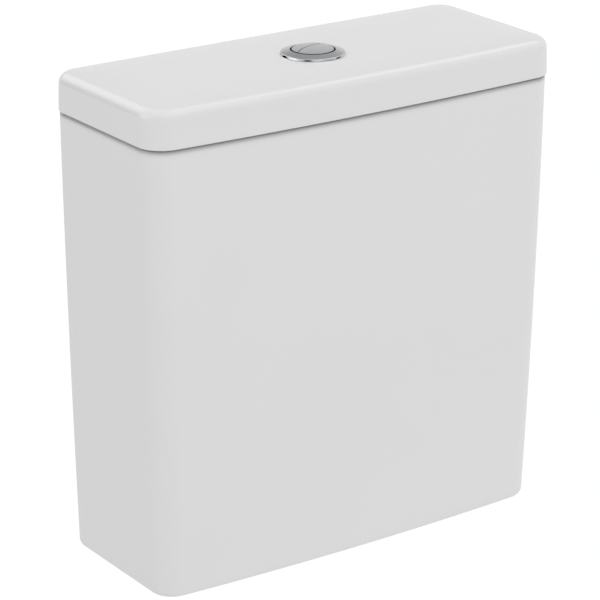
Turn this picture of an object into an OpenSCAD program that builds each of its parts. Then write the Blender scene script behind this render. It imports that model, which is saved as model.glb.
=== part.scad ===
// Toilet cistern for a close-coupled pan: glazed tank and lid, split push button, flush valve,
// bottom-entry fill valve and pan fixings. All sizes are in millimetres.
// The origin lies on the axis of the flush outlet, in the plane on which the tank seats.
// The front faces -Y, and +Z is up.

/* [Tank] */
// Width across the rim
rim_w = 360; // [350:1:390]
// How far each side leans in, from the rim to the base
side_taper = 6.5; // [0:0.5:12]
// Depth at the middle of the rim
rim_d = 145; // [142:1:160]
// How far the front leans in, from the rim to the base
front_taper = 6.5; // [0:0.5:8]
// Height from the seat to the rim
tank_h = 348.5; // [345:0.5:380]
// Distance from the outlet's axis to the front of the rim
axis_to_front = 69; // [66:1:72]
// Swell of the sides at half height
side_belly = 0.9; // [0:0.1:2]
// Swell of the front at half height
front_belly = 0.9; // [0:0.1:2]
// Bow of the front across its width
front_bow = 4.5; // [1:0.5:8]
// Radius of the upright front corners
front_corner_r = 19; // [15:1:26]
// Radius of the upright back corners
back_corner_r = 17; // [15:1:24]
// Rounding of the base's outer edge
base_edge_r = 5.7; // [3:0.1:7]
// Rounding of the rim's outer edge
rim_edge_r = 2; // [0.5:0.1:2.5]
// Thickness of the walls
wall_t = 9; // [7:0.5:11]
// Thickness of the floor
floor_t = 11; // [9:0.5:14]
// Rounding inside, where the floor meets the walls
floor_fillet_r = 10; // [5:1:14]
// Height of the skirt below the floor
skirt_h = 14; // [13:0.5:22]
// Thickness of the skirt
skirt_t = 13; // [11:0.5:14]
// Radius of the flush outlet's hole
outlet_hole_r = 32; // [31:0.5:36]
// Radius of the wall fixing holes
wall_hole_r = 4; // [3:0.25:6]
// Distance between the wall fixing holes
wall_hole_spacing = 200; // [120:5:240]
// Distance from the rim down to the wall fixing holes
wall_hole_drop = 33.5; // [20:0.5:50]

/* [Lid] */
// Height of the seam between the rim and the lid
lid_gap = 0.8; // [0.4:0.1:2]
// Overhang of the lid at the front and sides
lid_overhang = 1.2; // [0:0.1:4]
// Overhang of the lid at the back
lid_back_overhang = 0.2; // [0:0.1:2]
// Height of the lid's edge
lid_edge_h = 28.8; // [26:0.1:40]
// Rounding of the lid's upper edge
lid_edge_r = 8.5; // [4:0.5:10]
// Rounding of the lid's lower edge
lid_lower_r = 0.9; // [0.5:0.1:2.5]
// How far the lid's sides lean in
lid_draft = 0.5; // [0:0.1:2]
// Rise of the lid's top above its edge
lid_crown = 1; // [0.5:0.1:4]
// Distance over which the top rises
crown_run = 30; // [15:1:35]
// Thickness of the lid's top
lid_top_t = 10; // [8:0.5:13]
// Thickness of the lid's edge wall
lid_wall_t = 10.5; // [9:0.5:13]
// Radius of the soft pads on the rim
pad_r = 2.5; // [2:0.25:3]
// Distance from the back to the rear pads, and from the front to the forward pads
pad_inset = 40; // [30:1:50]
// Length of the locating tabs
tab_w = 40; // [20:1:60]
// Thickness of the locating tabs
tab_t = 6; // [4:0.5:8]
// How far the tabs reach below the rim
tab_reach = 6; // [3:0.5:10]
// Distance of the tabs from the middle of the lid
tab_x = 105; // [80:1:115]
// Clearance between the tabs and the tank's walls
tab_gap = 2; // [1:0.25:4]

/* [Push button] */
// Radius of the bezel
bezel_r = 24.4; // [23:0.1:28]
// Height of the bezel above the lid
bezel_h = 3.6; // [2.6:0.1:6]
// Height of the bezel's side
bezel_side_h = 1.7; // [1.2:0.1:2.2]
// How far the bezel's side leans in over its height
bezel_lean = 0.5; // [0.2:0.1:0.8]
// Rounding between the bezel's side and its slope
bezel_edge = 0.6; // [0.2:0.1:0.8]
// Radius of the threaded sleeve
sleeve_r = 18.4; // [18.2:0.1:20]
// Length of the sleeve below the lid's top
sleeve_len = 34; // [28:1:38]
// Radius of the button
button_r = 16; // [15.8:0.05:16.2]
// Gap between the button and the sleeve's bore
button_gap = 0.95; // [0.3:0.05:1]
// How far the middle of the button stands above the bezel
button_proud = 0.5; // [0.3:0.1:1]
// Rise of the button's face from its edge to its middle
button_crown = 0.3; // [0.1:0.1:0.5]
// Thickness of the button's face
button_t = 3; // [2:0.25:4]
// Depth of the button's guiding wall
button_wall_h = 12; // [8:0.5:14]
// Thickness of the button's guiding wall
button_wall_t = 1.2; // [0.8:0.1:1.4]
// Easing of the button's upper edge
button_edge = 0.6; // [0.2:0.1:1]
// How far a button goes down
press_travel = 8; // [5:0.5:9]
// Direction of the half-flush crescent, counted from +X
split_dir = 112; // [95:1:130]
// Radius of the arc that splits the button
split_r = 40; // [35:1:60]
// Distance from the button's axis to the split
split_off = 6.1; // [5.8:0.05:6.3]
// Width of the split
split_gap = 0.6; // [0.4:0.1:0.8]
// Radius of the button stems
stem_r = 2.5; // [2.3:0.05:2.6]
// Distance from the axis to the full-flush stem
full_stem_off = 7; // [5:0.5:8]
// Distance from the axis to the half-flush stem
half_stem_off = 10.6; // [10.5:0.05:10.7]
// How far the stems reach below the carrier
stem_tail = 4; // [2:0.5:6]
// Thickness of the carrier inside the sleeve
carrier_t = 4; // [3:0.5:6]
// Thickness of the carrier's flange under the sleeve
carrier_flange_t = 2; // [1.5:0.25:3]
// Radius of the locknut
locknut_r = 24; // [23:0.5:28]
// Height of the locknut
locknut_h = 8; // [6:0.5:10]
// Number of grip lugs on the locknut
locknut_lugs = 8; // [6:1:12]
// Radius of the spring wire
spring_wire_r = 0.35; // [0.3:0.05:0.4]
// Radius of the springs at the middle of the wire
spring_r = 3.3; // [3.25:0.05:3.4]
// Number of turns of each spring
spring_turns = 8; // [6:1:9]
// Radius of the pushrods
rod_r = 1.6; // [1.4:0.05:1.75]
// How far the pushrods go into the stems
rod_grip = 14; // [8:1:18]
// Radius of the pushrods' feet
foot_r = 3.4; // [3:0.1:4]
// Height of the pushrods' feet
foot_h = 3; // [2:0.5:5]

/* [Flush valve] */
// Radius of the waterway
outlet_r = 25; // [23:0.5:25.5]
// Radius of the plain end of the tail
spigot_r = 28; // [27.5:0.1:29]
// Radius of the threaded tail
tail_r = 29.8; // [29.4:0.1:30.5]
// How far the tail reaches below the seat
tail_reach = 16; // [14:1:30]
// How far the thread reaches below the seat
thread_reach = 6; // [5:0.5:9]
// Radius of the base flange
base_flange_r = 44; // [42:0.5:48]
// Thickness of the base flange
base_flange_t = 4; // [3:0.5:6]
// Thickness of the base washer
base_washer_t = 3; // [2:0.5:5]
// Radius of the base washer
base_washer_r = 42; // [38:0.5:44]
// Outer radius of the valve seat's lip
seat_r = 29; // [28:0.25:30]
// Height of the valve seat's lip
seat_h = 8; // [5:0.5:10]
// Radius of the back nut
back_nut_r = 38; // [36:0.5:40]
// Height of the back nut
back_nut_h = 11; // [9:0.5:12]
// Number of grip lugs on the back nut
back_nut_lugs = 12; // [8:1:16]
// Radius of the foam coupling seal
coupling_seal_r = 46; // [44:0.5:48.5]
// How far the coupling seal reaches below the seat
coupling_seal_reach = 6; // [5:0.5:9]
// Radius of the cage
cage_r = 36; // [34.5:0.25:36.5]
// Thickness of the cage's wall
cage_t = 2.5; // [2:0.25:3]
// Distance from the rim down to the cage's top
cage_drop = 172.5; // [168:0.5:185]
// Thickness of the cage's top
cage_top_t = 4; // [3:0.5:6]
// Number of windows round the cage
window_n = 4; // [3:1:5]
// Width of each window
window_w = 34; // [20:1:36]
// Height of each window
window_h = 34; // [20:1:44]
// Height of the windows' sills above the cage's flange
window_sill = 8; // [6:0.5:12]
// Radius of the overflow tube
tube_r = 16; // [15:0.25:17]
// Thickness of the overflow tube's wall
tube_t = 2; // [1.5:0.25:2.5]
// Radius of the valve seal
seal_r = 31; // [30.5:0.25:32]
// Thickness of the valve seal
seal_t = 3; // [2:0.25:4]
// Radius of the full-flush float
full_float_r = 30; // [26:0.5:31]
// Height of the full-flush float
full_float_h = 40; // [25:1:50]
// Distance from the cage's top down to the full-flush float
full_float_drop = 36; // [20:1:44]
// How far the seal's retainer goes into the overflow tube
retainer_grip = 12; // [8:1:20]
// Radius of the half-flush float
half_float_r = 28; // [24:0.5:28.5]
// Height of the half-flush float
half_float_h = 42; // [25:1:46]
// Rounding of the floats' edges
float_edge_r = 3; // [1:0.5:4]
// Rise of the overflow tube's mouth above the upper lifter
mouth_rise = 12; // [6:1:16]

/* [Actuator] */
// Distance from the rim down to the underside of the bridge
bridge_drop = 54.5; // [51.5:0.5:60]
// Width of the columns
column_w = 18; // [12:1:19]
// Thickness of the columns
column_t = 4; // [3:0.25:4.25]
// Thickness of the bridge
bridge_t = 4; // [3:0.5:5]
// Height of the lever pivots above the bridge
pivot_h = 16; // [15:0.5:18]
// Distance of the lever pivots from the axis
pivot_x = 30; // [28:0.5:33]
// Distance from a lever's pivot to its nose
nose_arm = 30; // [24:0.5:32]
// Width of the levers
lever_w = 7; // [5:0.5:8]
// Thickness of the levers
lever_t = 4.4; // [3:0.2:5]
// Radius of the levers' hubs
hub_r = 5; // [4:0.25:6]
// Radius of the levers' press pads
press_pad_r = 4.5; // [4.2:0.1:5]
// Radius of the levers' noses
nose_r = 3; // [2.5:0.1:3.5]
// Radius of the lever pins
lever_pin_r = 2; // [1.5:0.1:2.5]
// Thickness of the ears that hold the pins
ear_t = 3; // [2:0.25:3.25]
// Thickness of the lifters' arms
lifter_arm_t = 6; // [4:0.5:8]
// Width of the lifters' arms
lifter_arm_w = 8; // [6:0.5:9]
// Thickness of the lifters' straps
strap_t = 4; // [3:0.5:5]
// Height of the half-flush lifter's arm above the cage
half_arm_rise = 58; // [54:1:60]

/* [Fill valve] */
// Distance of the fill valve from the right side of the base
fill_inset = 51.5; // [48.5:0.5:55]
// Distance of the fill valve behind the outlet
fill_y = 18; // [8:1:22]
// Radius of the inlet's thread
inlet_r = 10.48; // [9:0.02:10.6]
// How far the inlet reaches below the seat
inlet_reach = 34; // [25:1:45]
// Radius of the shank above the thread
shank_r = 11.2; // [11:0.1:12]
// Radius of the supply bore
supply_r = 6.5; // [5:0.25:7.5]
// Radius of the shank's flange
shank_flange_r = 19; // [16:0.5:21]
// Thickness of the shank's flange
shank_flange_t = 4; // [3:0.5:6]
// Thickness of the shank's washer
shank_washer_t = 3; // [2:0.5:5]
// Width of the shank nut across its corners
shank_nut_w = 34; // [30:0.5:40]
// Height of the shank nut
shank_nut_h = 10; // [8:0.5:12]
// Radius of the inner riser
inner_riser_r = 10; // [9:0.25:10.5]
// Height of the inner riser above its flange
inner_riser_h = 133; // [110:1:160]
// Thickness of the outer riser's wall
riser_t = 2.3; // [1.8:0.1:2.8]
// Height of the outer riser's foot above the shank's flange
riser_foot = 38; // [25:1:45]
// Distance from the rim down to the top of the outer riser
riser_drop = 101.5; // [85:0.5:108]
// Height of the lock collar
lock_collar_h = 14; // [10:1:18]
// Thickness of the lock collar
lock_collar_t = 3.6; // [3:0.2:5]
// Radius of the valve head
head_r = 18; // [17:0.25:19]
// Height of the valve head
head_h = 27; // [24:0.5:32]
// How deep the riser goes into the head
head_socket = 12; // [8:0.5:14]
// Height over which the head narrows down to the riser
head_taper = 8; // [4:0.5:12]
// Wall of the head round the riser's top
head_wall = 2.5; // [2:0.25:3]
// Radius of the head's cap
cap_r = 19; // [18:0.25:20]
// Height of the head's cap
cap_h = 10; // [8:0.5:13]
// Number of grip ribs round the cap
cap_ribs = 16; // [8:1:20]
// Radius of the grip ribs
cap_rib_r = 1; // [0.6:0.1:1.2]
// Radius of the diaphragm
diaphragm_r = 15; // [12:0.5:16]
// Thickness of the diaphragm
diaphragm_t = 2; // [1.5:0.25:3]
// Radius of the float cup
cup_r = 31; // [28:0.5:33]
// Height of the float cup
cup_h = 60; // [45:1:62]
// Gap between the float cup and the riser
cup_gap = 0.6; // [0.4:0.1:1]
// Distance from the head down to the float cup, when dropped
cup_drop = 45; // [22:1:60]
// Height of the float cup's socket for the link
link_socket_h = 8; // [5:0.5:10]
// How far the float rises
float_travel = 10; // [6:0.5:11]
// Distance from the float lever's pivot to the link
float_arm = 25; // [23:0.5:26]
// Distance from the fill valve's axis to the float lever's pivot
float_pivot_off = 2; // [1:0.25:3]
// Distance from the float lever's pivot to its pilot pin
pilot_arm = 8; // [6:0.5:10]
// Reach of the float lever's tail past the pilot pin
lever_tail = 12; // [4:0.5:14]
// Height of the float lever's pivot above the cap
float_pivot_h = 8; // [7.5:0.25:10]
// Width of the float lever
float_lever_w = 7; // [6:0.5:8]
// Thickness of the float lever
float_lever_t = 4; // [3:0.25:4.5]
// Radius of the float lever's pin
float_pin_r = 1.6; // [1.2:0.1:2]
// Radius of the float link
link_r = 1.6; // [1.2:0.1:1.8]
// Radius of the float link's collars
link_collar_r = 3.2; // [2.8:0.1:4]

/* [Pan fixings] */
// Distance between the coupling bolts
bolt_spacing = 160; // [150:1:165]
// Radius of the bolts' plain shank
bolt_r = 4; // [3.5:0.25:5]
// Radius of the bolts' threaded end
bolt_thread_r = 3.6; // [3:0.1:4.5]
// How far the bolts reach below the seat
bolt_reach = 30; // [20:1:50]
// Radius of the bolts' heads
bolt_head_r = 8; // [7:0.25:10]
// Height of the bolts' heads
bolt_head_h = 5; // [4:0.5:7]
// Radius of the holes for the bolts
bolt_hole_r = 5.5; // [5.2:0.1:6.5]
// Radius of the rubber bolt seals
bolt_seal_r = 14; // [12:0.5:16]
// Thickness of the rubber bolt seals
bolt_seal_t = 4; // [3:0.5:6]
// Radius of the plate washers
plate_washer_r = 12; // [10:0.5:14]
// Thickness of the plate washers
plate_washer_t = 1.6; // [1:0.1:2.5]
// Width of the coupling nuts across their corners
bolt_nut_w = 15; // [13:0.5:18]
// Height of the coupling nuts
bolt_nut_h = 6.5; // [5:0.5:8]

/* [Clearances] */
// Between pieces that slide or turn past each other
slide_gap = 0.4; // [0.3:0.05:0.6]
// Between pieces that rest on each other and then part
rest_gap = 0.3; // [0.2:0.05:0.5]
// Between a thread and its nut, and between a plug and its socket
thread_gap = 0.15; // [0.1:0.05:0.3]
// Between a pivot pin and its bore
pin_gap = 0.05; // [0.02:0.01:0.1]

/* [Hidden] */
$fn = 64;

// Steps of the tank's and the lid's outline: along a corner and along the bowed front
corner_steps = 6;
bow_steps = 8;
// Least corner radius of an outline that is drawn far in
least_corner_r = 3;
// Overlap that carries a cut clear of a face
cut = 1;

// Sizes and heights of the tank and the lid
base_w = rim_w - 2 * side_taper;
base_d = rim_d - front_taper;
back_y = rim_d - axis_to_front;
wall_hole_z = tank_h - wall_hole_drop;
floor_z = skirt_h + floor_t;
lid_z = tank_h + lid_gap;
lid_edge_z = lid_z + lid_edge_h;
lid_top_z = lid_edge_z + lid_crown;
lid_under_z = lid_top_z - lid_top_t;
lid_half_w = rim_w / 2 + lid_overhang;
lid_front_y = back_y - rim_d - lid_overhang;
lid_back_y = back_y + lid_back_overhang;

// Places of the button's parts
bore_r = button_r + button_gap;
sleeve_end_z = lid_top_z - sleeve_len;
carrier_top_z = sleeve_end_z + carrier_t;
carrier_low_z = sleeve_end_z - carrier_flange_t;
button_z = lid_top_z + bezel_h + button_proud;
button_under_z = button_z - button_t;
stem_low_z = carrier_low_z - stem_tail;
split_axis = [cos(split_dir), sin(split_dir)];
split_centre = -(split_r - split_off) * split_axis;
full_rod = -full_stem_off * split_axis;
half_rod = half_stem_off * split_axis;

// Heights of the flush valve
base_washer_top = floor_z + base_washer_t;
base_top = base_washer_top + base_flange_t;
seat_z = base_top + seat_h;
seal_z = seat_z + rest_gap;
tube_z = seal_z + seal_t;
cage_flange_r = cage_r + 2.5;
cage_flange_t = 4;
cage_top = tank_h - cage_drop;
full_float_z = cage_top - full_float_drop - full_float_h;
bridge_z = tank_h - bridge_drop;
column_h = bridge_z - cage_top;
bridge_top = bridge_z + bridge_t;
pivot_z = bridge_top + pivot_h;
column_y = half_float_r + 1.5 + column_t / 2;
bead_t = 2;
bead_r = tube_r + 2;

// Travels of the levers and lifters
full_pad_arm = pivot_x - full_rod[0];
half_pad_arm = pivot_x + half_rod[0];
full_lift = nose_arm * press_travel / full_pad_arm;
half_lift = nose_arm * press_travel / half_pad_arm;
half_arm_z = cage_top + half_arm_rise;
full_bead_z = half_arm_z + lifter_arm_t + half_lift + 2 * rest_gap;
full_arm_z = full_bead_z + bead_t;
tube_top = full_arm_z + lifter_arm_t + mouth_rise;
hook_z = pivot_z + nose_r + rest_gap;
strap_x = pivot_x + nose_arm + nose_r + 2;
foot_z = pivot_z + press_pad_r + slide_gap;

// Place and heights of the fill valve
fill_x = base_w / 2 - fill_inset;
shank_washer_top = floor_z + shank_washer_t;
shank_top = shank_washer_top + shank_flange_t;
inner_riser_top = shank_top + inner_riser_h;
riser_z = shank_top + riser_foot;
riser_r = inner_riser_r + rest_gap + riser_t;
riser_lip_t = 2;
riser_top = tank_h - riser_drop;
head_z = riser_top - head_socket;
head_top = head_z + head_h;
cap_top = head_top + cap_h;
float_pivot_z = cap_top + float_pivot_h;
float_tilt = asin(float_travel / 2 / float_arm);
cup_top = head_z - cup_drop;
cup_z = cup_top - cup_h;
link_off = float_pivot_off + float_arm * (1 + cos(float_tilt)) / 2;
link_mid_z = float_pivot_z - float_travel / 2;
link_collar_off = float_lever_t / 2 / cos(float_tilt) + link_collar_r * tan(float_tilt) + rest_gap;
link_collar_t = 2;
pilot_len = 3;

// Heights of the pan fixings
bolt_head_z = floor_z + bolt_seal_t + plate_washer_t;
low_nut_z = skirt_h - plate_washer_t - bolt_nut_h;

// Colours of the glaze, chrome, plastics, rubber and metal
glaze = "#f1f1ef";
chrome = "#c3c4c9";
white_plastic = "#e9eaea";
grey_plastic = "#aab0b5";
blue_plastic = "#4f86b8";
black_rubber = "#2a2a2c";
grey_foam = "#4a4b4d";
plated_steel = "#b9b6ad";

// Points along an arc about a centre
function arc(centre, r, from, to, steps) = [
    for (i = [0:steps])
        let (a = from + (to - from) * i / steps)
        centre + r * [cos(a), sin(a)]
];

// Closed outline with rounded corners and a bowed front, drawn in by e on every side
function outline(half_w, front_y, rear_y, front_r, rear_r, e) =
    let (
        reach = half_w - front_r,
        bow_r = (reach * reach + front_bow * front_bow) / (2 * front_bow),
        r = bow_r - e,
        f = max(front_r - e, least_corner_r),
        b = max(rear_r - e, least_corner_r),
        fx = half_w - e - f,
        bx = half_w - e - b,
        by = rear_y - e - b,
        turn = asin(fx / (r - f)),
        fy = front_y + bow_r - (r - f) * cos(turn)
    )
    concat(
        arc([fx, fy], f, turn - 90, 0, corner_steps),
        arc([bx, by], b, 0, 90, corner_steps),
        arc([-bx, by], b, 90, 180, corner_steps),
        arc([-fx, fy], f, 180, 270 - turn, corner_steps),
        [
            for (i = [1:bow_steps - 1])
                let (a = turn * (2 * i / bow_steps - 1))
                [r * sin(a), front_y + bow_r - r * cos(a)]
        ]
    );

// An outline lifted to a height
function level(points, z) = [for (p = points) [p[0], p[1], z]];

// Half the tank's width, and the place of its front, at a height
function tank_half_w(z) =
    let (s = z / tank_h)
    (base_w + (rim_w - base_w) * s) / 2 + side_belly * 4 * s * (1 - s);
function tank_front_y(z) =
    let (s = z / tank_h)
    back_y - base_d - (rim_d - base_d) * s - front_belly * 4 * s * (1 - s);

// One level of the tank, drawn in by e
function tank_level(z, e) = level(
    outline(tank_half_w(z), tank_front_y(z), back_y, front_corner_r, back_corner_r, e), z);

// One level of the lid, drawn in by e
function lid_level(z, e) = level(
    outline(lid_half_w, lid_front_y, lid_back_y,
        front_corner_r + lid_overhang, back_corner_r + lid_overhang, e), z);

// Points of a coil of round wire that stands on z = 0
function coil_centres(r, height, turns, per_turn) = [
    for (i = [0:turns * per_turn])
        let (a = 360 * i / per_turn)
        [r * cos(a), r * sin(a), height * i / (turns * per_turn)]
];

// Least gap between the neighbouring turns of a coil, measured on its points
function coil_gap(centres, wire_r, per_turn) = min([
    for (i = [0:len(centres) - 1])
        for (j = [i + per_turn / 2:1:len(centres) - 1])
            norm(centres[i] - centres[j]) - 2 * wire_r
]);

// Solid through a stack of levels that all have the same number of points
module loft(levels) {
    n = len(levels[0]);
    m = len(levels);
    polyhedron(
        points = [for (l = levels) each l],
        faces = concat(
            [[for (i = [0:n - 1]) i]],
            [[for (i = [n - 1:-1:0]) (m - 1) * n + i]],
            [
                for (k = [0:m - 2])
                    for (i = [0:n - 1])
                        let (a = k * n + i, b = k * n + (i + 1) % n)
                        each [[a, a + n, b + n], [a, b + n, b]]
            ]
        )
    );
}

// Coil of round wire, of six sides, from one end face to the other
module coil(centres, wire_r) {
    sides = 6;
    n = len(centres);
    rings = [
        for (c = centres)
            let (out = [c[0], c[1], 0] / norm([c[0], c[1]]))
            for (k = [0:sides - 1])
                c + wire_r * (cos(60 * k) * out + sin(60 * k) * [0, 0, 1])
    ];
    polyhedron(
        points = rings,
        faces = concat(
            [for (k = [1:sides - 2]) [0, k + 1, k]],
            [for (k = [1:sides - 2]) [(n - 1) * sides, (n - 1) * sides + k, (n - 1) * sides + k + 1]],
            [
                for (i = [0:n - 2])
                    for (k = [0:sides - 1])
                        let (a = i * sides + k, b = i * sides + (k + 1) % sides)
                        each [[a, b, b + sides], [a, b + sides, a + sides]]
            ]
        )
    );
}

// Plain ring from z = 0 up
module ring(r_out, r_in, h) {
    difference() {
        cylinder(r = r_out, h = h);
        translate([0, 0, -cut]) cylinder(r = r_in, h = h + 2 * cut);
    }
}

// Ring from z = 0 up, with rounded outer edges
module soft_ring(r_out, r_in, h, e) {
    rotate_extrude() polygon(concat(
        [[r_in, 0]],
        arc([r_out - e, e], e, -90, 0, 3),
        arc([r_out - e, h - e], e, 0, 90, 3),
        [[r_in, h]]
    ));
}

// Round bar across the part, along Y and centred
module cross_bar(r, len) {
    rotate([90, 0, 0]) cylinder(r = r, h = len, center = true);
}

// Ring with grip lugs round it
module lugged_ring(r_out, r_in, h, lug_r, lugs) {
    difference() {
        union() {
            cylinder(r = r_out, h = h);
            for (i = [0:lugs - 1])
                rotate(360 * i / lugs) translate([r_out, 0, 0]) cylinder(r = lug_r, h = h);
        }
        translate([0, 0, -cut]) cylinder(r = r_in, h = h + 2 * cut);
    }
}

// Copies at both coupling bolts
module at_bolts() {
    for (side = [-1, 1])
        translate([side * bolt_spacing / 2, 0, 0]) children();
}

// Frame of the fill valve
module at_fill_valve() {
    translate([fill_x, fill_y, 0]) children();
}

// Tank: outer shell with a rounded base edge, hollow above the floor and below it
module cistern_tank() {
    edge = [for (i = [0:4]) 22.5 * i];
    shell = concat(
        [for (a = edge) tank_level(base_edge_r * (1 - cos(a)), base_edge_r * (1 - sin(a)))],
        [for (s = [0.15, 0.3, 0.5, 0.7, 0.85]) tank_level(tank_h * s, 0)],
        [for (a = [0, 45, 90]) tank_level(tank_h - rim_edge_r * (1 - sin(a)), rim_edge_r * (1 - cos(a)))]
    );
    hollow = concat(
        [
            for (a = [0, 45, 90])
                tank_level(floor_z + floor_fillet_r * (1 - cos(a)), wall_t + floor_fillet_r * (1 - sin(a)))
        ],
        [for (s = [0.5, 1]) tank_level(tank_h * s + cut * s, wall_t)]
    );
    color(glaze) difference() {
        loft(shell);
        loft(hollow);
        loft([tank_level(-cut, skirt_t), tank_level(skirt_h, skirt_t)]);
        translate([0, 0, skirt_h - cut]) {
            cylinder(r = outlet_hole_r, h = floor_t + 2 * cut);
            at_bolts() cylinder(r = bolt_hole_r, h = floor_t + 2 * cut);
            at_fill_valve() cylinder(r = shank_r + cut, h = floor_t + 2 * cut);
        }
        for (side = [-1, 1])
            translate([side * wall_hole_spacing / 2, back_y + cut, wall_hole_z])
                rotate([90, 0, 0]) cylinder(r = wall_hole_r, h = wall_t + 2 * cut);
    }
}

// Locating tab that hangs inside the tank's front or back wall
module lid_tab(wall_y, side) {
    face_y = wall_y - side * tab_gap;
    for (x = [-tab_x, tab_x])
        translate([x - tab_w / 2, 0, 0]) {
            translate([0, min(face_y, face_y - side * tab_t), tank_h - tab_reach])
                cube([tab_w, tab_t, lid_under_z - tank_h + tab_reach + cut]);
            translate([0, min(wall_y + side * tab_gap, face_y - side * tab_t), lid_z + 4])
                cube([tab_w, tab_t + 2 * tab_gap, lid_under_z - lid_z - 4 + cut]);
        }
}

// Lid: crowned top, rounded edge, hollow underside, hole for the button and four locating tabs
module cistern_lid() {
    side_z = lid_edge_z - lid_edge_r;
    shell = concat(
        [for (a = [0, 45, 90]) lid_level(lid_z + lid_lower_r * (1 - cos(a)), lid_lower_r * (1 - sin(a)))],
        [
            for (a = [0, 22.5, 45, 67.5, 90])
                lid_level(side_z + lid_edge_r * sin(a), lid_draft + lid_edge_r * (1 - cos(a)))
        ],
        [
            for (s = [0.3, 0.65, 1])
                lid_level(lid_edge_z + lid_crown * s * (2 - s), lid_draft + lid_edge_r + crown_run * s)
        ]
    );
    inner_r = 4;
    hollow = [
        lid_level(lid_z - cut, lid_wall_t),
        lid_level(lid_under_z - inner_r, lid_wall_t),
        lid_level(lid_under_z, lid_wall_t + inner_r),
    ];
    bow_at_tab = front_bow * pow((tab_x - tab_w / 2) / (rim_w / 2), 2);
    color(glaze) difference() {
        union() {
            difference() {
                loft(shell);
                loft(hollow);
            }
            lid_tab(back_y - wall_t, 1);
            lid_tab(tank_front_y(tank_h) + wall_t + bow_at_tab + tab_gap, -1);
        }
        translate([0, 0, lid_under_z - cut]) cylinder(r = sleeve_r + 2 * rest_gap, h = lid_top_t + 2 * cut);
    }
}

// Four soft pads on the rim, which hold the seam open
module lid_pads() {
    color(grey_plastic)
        for (side = [-1, 1])
            for (y = [back_y - pad_inset, tank_front_y(tank_h) + pad_inset])
                translate([side * (rim_w - wall_t) / 2, y, tank_h]) cylinder(r = pad_r, h = lid_gap);
}

// Bezel: flange on the lid that slopes up to the button, with a threaded sleeve below it
module button_bezel() {
    lip = 0.4;
    foot = 0.3;
    base = [bezel_r, foot];
    corner = [bezel_r - bezel_lean, bezel_side_h];
    crest = [bore_r + lip, bezel_h];
    low = corner + bezel_edge * (base - corner) / norm(base - corner);
    high = corner + bezel_edge * (crest - corner) / norm(crest - corner);
    color(chrome) translate([0, 0, lid_top_z]) rotate_extrude() polygon(concat(
        [[bore_r, -sleeve_len], [sleeve_r, -sleeve_len], [sleeve_r, 0], [bezel_r - foot, 0], base],
        [for (t = [0:0.25:1]) pow(1 - t, 2) * low + 2 * t * (1 - t) * corner + t * t * high],
        [crest, [bore_r, bezel_h - lip]]
    ));
}

// Locknut that draws the bezel down onto the lid
module button_locknut() {
    color(white_plastic) translate([0, 0, lid_under_z - locknut_h])
        lugged_ring(locknut_r, sleeve_r + thread_gap, locknut_h, 2, locknut_lugs);
}

// Carrier: a disc in the sleeve's end that guides both stems and bears the springs
module button_carrier() {
    color(white_plastic) difference() {
        union() {
            translate([0, 0, sleeve_end_z]) cylinder(r = bore_r - thread_gap, h = carrier_t);
            translate([0, 0, carrier_low_z]) cylinder(r = sleeve_r - thread_gap, h = carrier_flange_t);
        }
        for (rod = [full_rod, half_rod])
            translate([rod[0], rod[1], carrier_low_z - cut])
                cylinder(r = stem_r + rest_gap, h = carrier_t + carrier_flange_t + 2 * cut);
    }
}

// Round button before it is split: a crowned face with an eased edge and a guiding wall
module button_blank() {
    wall_r = button_r - button_wall_t;
    face_r = button_r - button_edge;
    translate([0, 0, button_z]) rotate_extrude() polygon(concat(
        [[0, -button_t], [wall_r, -button_t], [wall_r, -button_wall_h], [button_r, -button_wall_h]],
        [for (a = [0:30:60]) [face_r + button_edge * cos(a), -button_crown - button_edge * (1 - sin(a))]],
        [for (s = [1:-0.25:0]) [face_r * s, -button_crown * s * s]]
    ));
}

// Round cutter whose side is the split's arc, moved by a share of the split's width
module split_cutter(shift) {
    translate([split_centre[0], split_centre[1], button_z - button_wall_h - cut])
        cylinder(r = split_r + shift, h = button_wall_h + 2 * cut, $fn = 180);
}

// Stem under a button, bored for its pushrod
module button_stem(rod) {
    translate([rod[0], rod[1], stem_low_z]) difference() {
        cylinder(r = stem_r, h = button_under_z - stem_low_z + button_t / 2);
        translate([0, 0, -cut]) cylinder(r = rod_r + thread_gap, h = rod_grip + cut);
    }
}

// Full-flush button: the part inside the arc
module full_flush_button() {
    color(chrome) {
        intersection() {
            button_blank();
            split_cutter(-split_gap / 2);
        }
        button_stem(full_rod);
    }
}

// Half-flush button: the crescent outside the arc
module half_flush_button() {
    color(chrome) {
        difference() {
            button_blank();
            split_cutter(split_gap / 2);
        }
        button_stem(half_rod);
    }
}

// Return spring between the carrier and a button
coil_per_turn = 8;
spring_h = button_under_z - carrier_top_z - 2 * spring_wire_r - rest_gap;
spring_centres = coil_centres(spring_r, spring_h, spring_turns, coil_per_turn);
echo(spring_self_gap = coil_gap(spring_centres, spring_wire_r, coil_per_turn));

module return_spring(rod) {
    color(plated_steel) translate([rod[0], rod[1], carrier_top_z + spring_wire_r + rest_gap / 2])
        coil(spring_centres, spring_wire_r);
}

module full_flush_spring() {
    return_spring(full_rod);
}

module half_flush_spring() {
    return_spring(half_rod);
}

// Pushrod: screwed into a stem, with a foot that rests over a lever's press pad
module pushrod(rod) {
    color(white_plastic) translate([rod[0], rod[1], foot_z]) {
        cylinder(r = foot_r, h = foot_h);
        cylinder(r = rod_r, h = stem_low_z + rod_grip - foot_z);
    }
}

module full_flush_pushrod() {
    pushrod(full_rod);
}

module half_flush_pushrod() {
    pushrod(half_rod);
}

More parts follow.
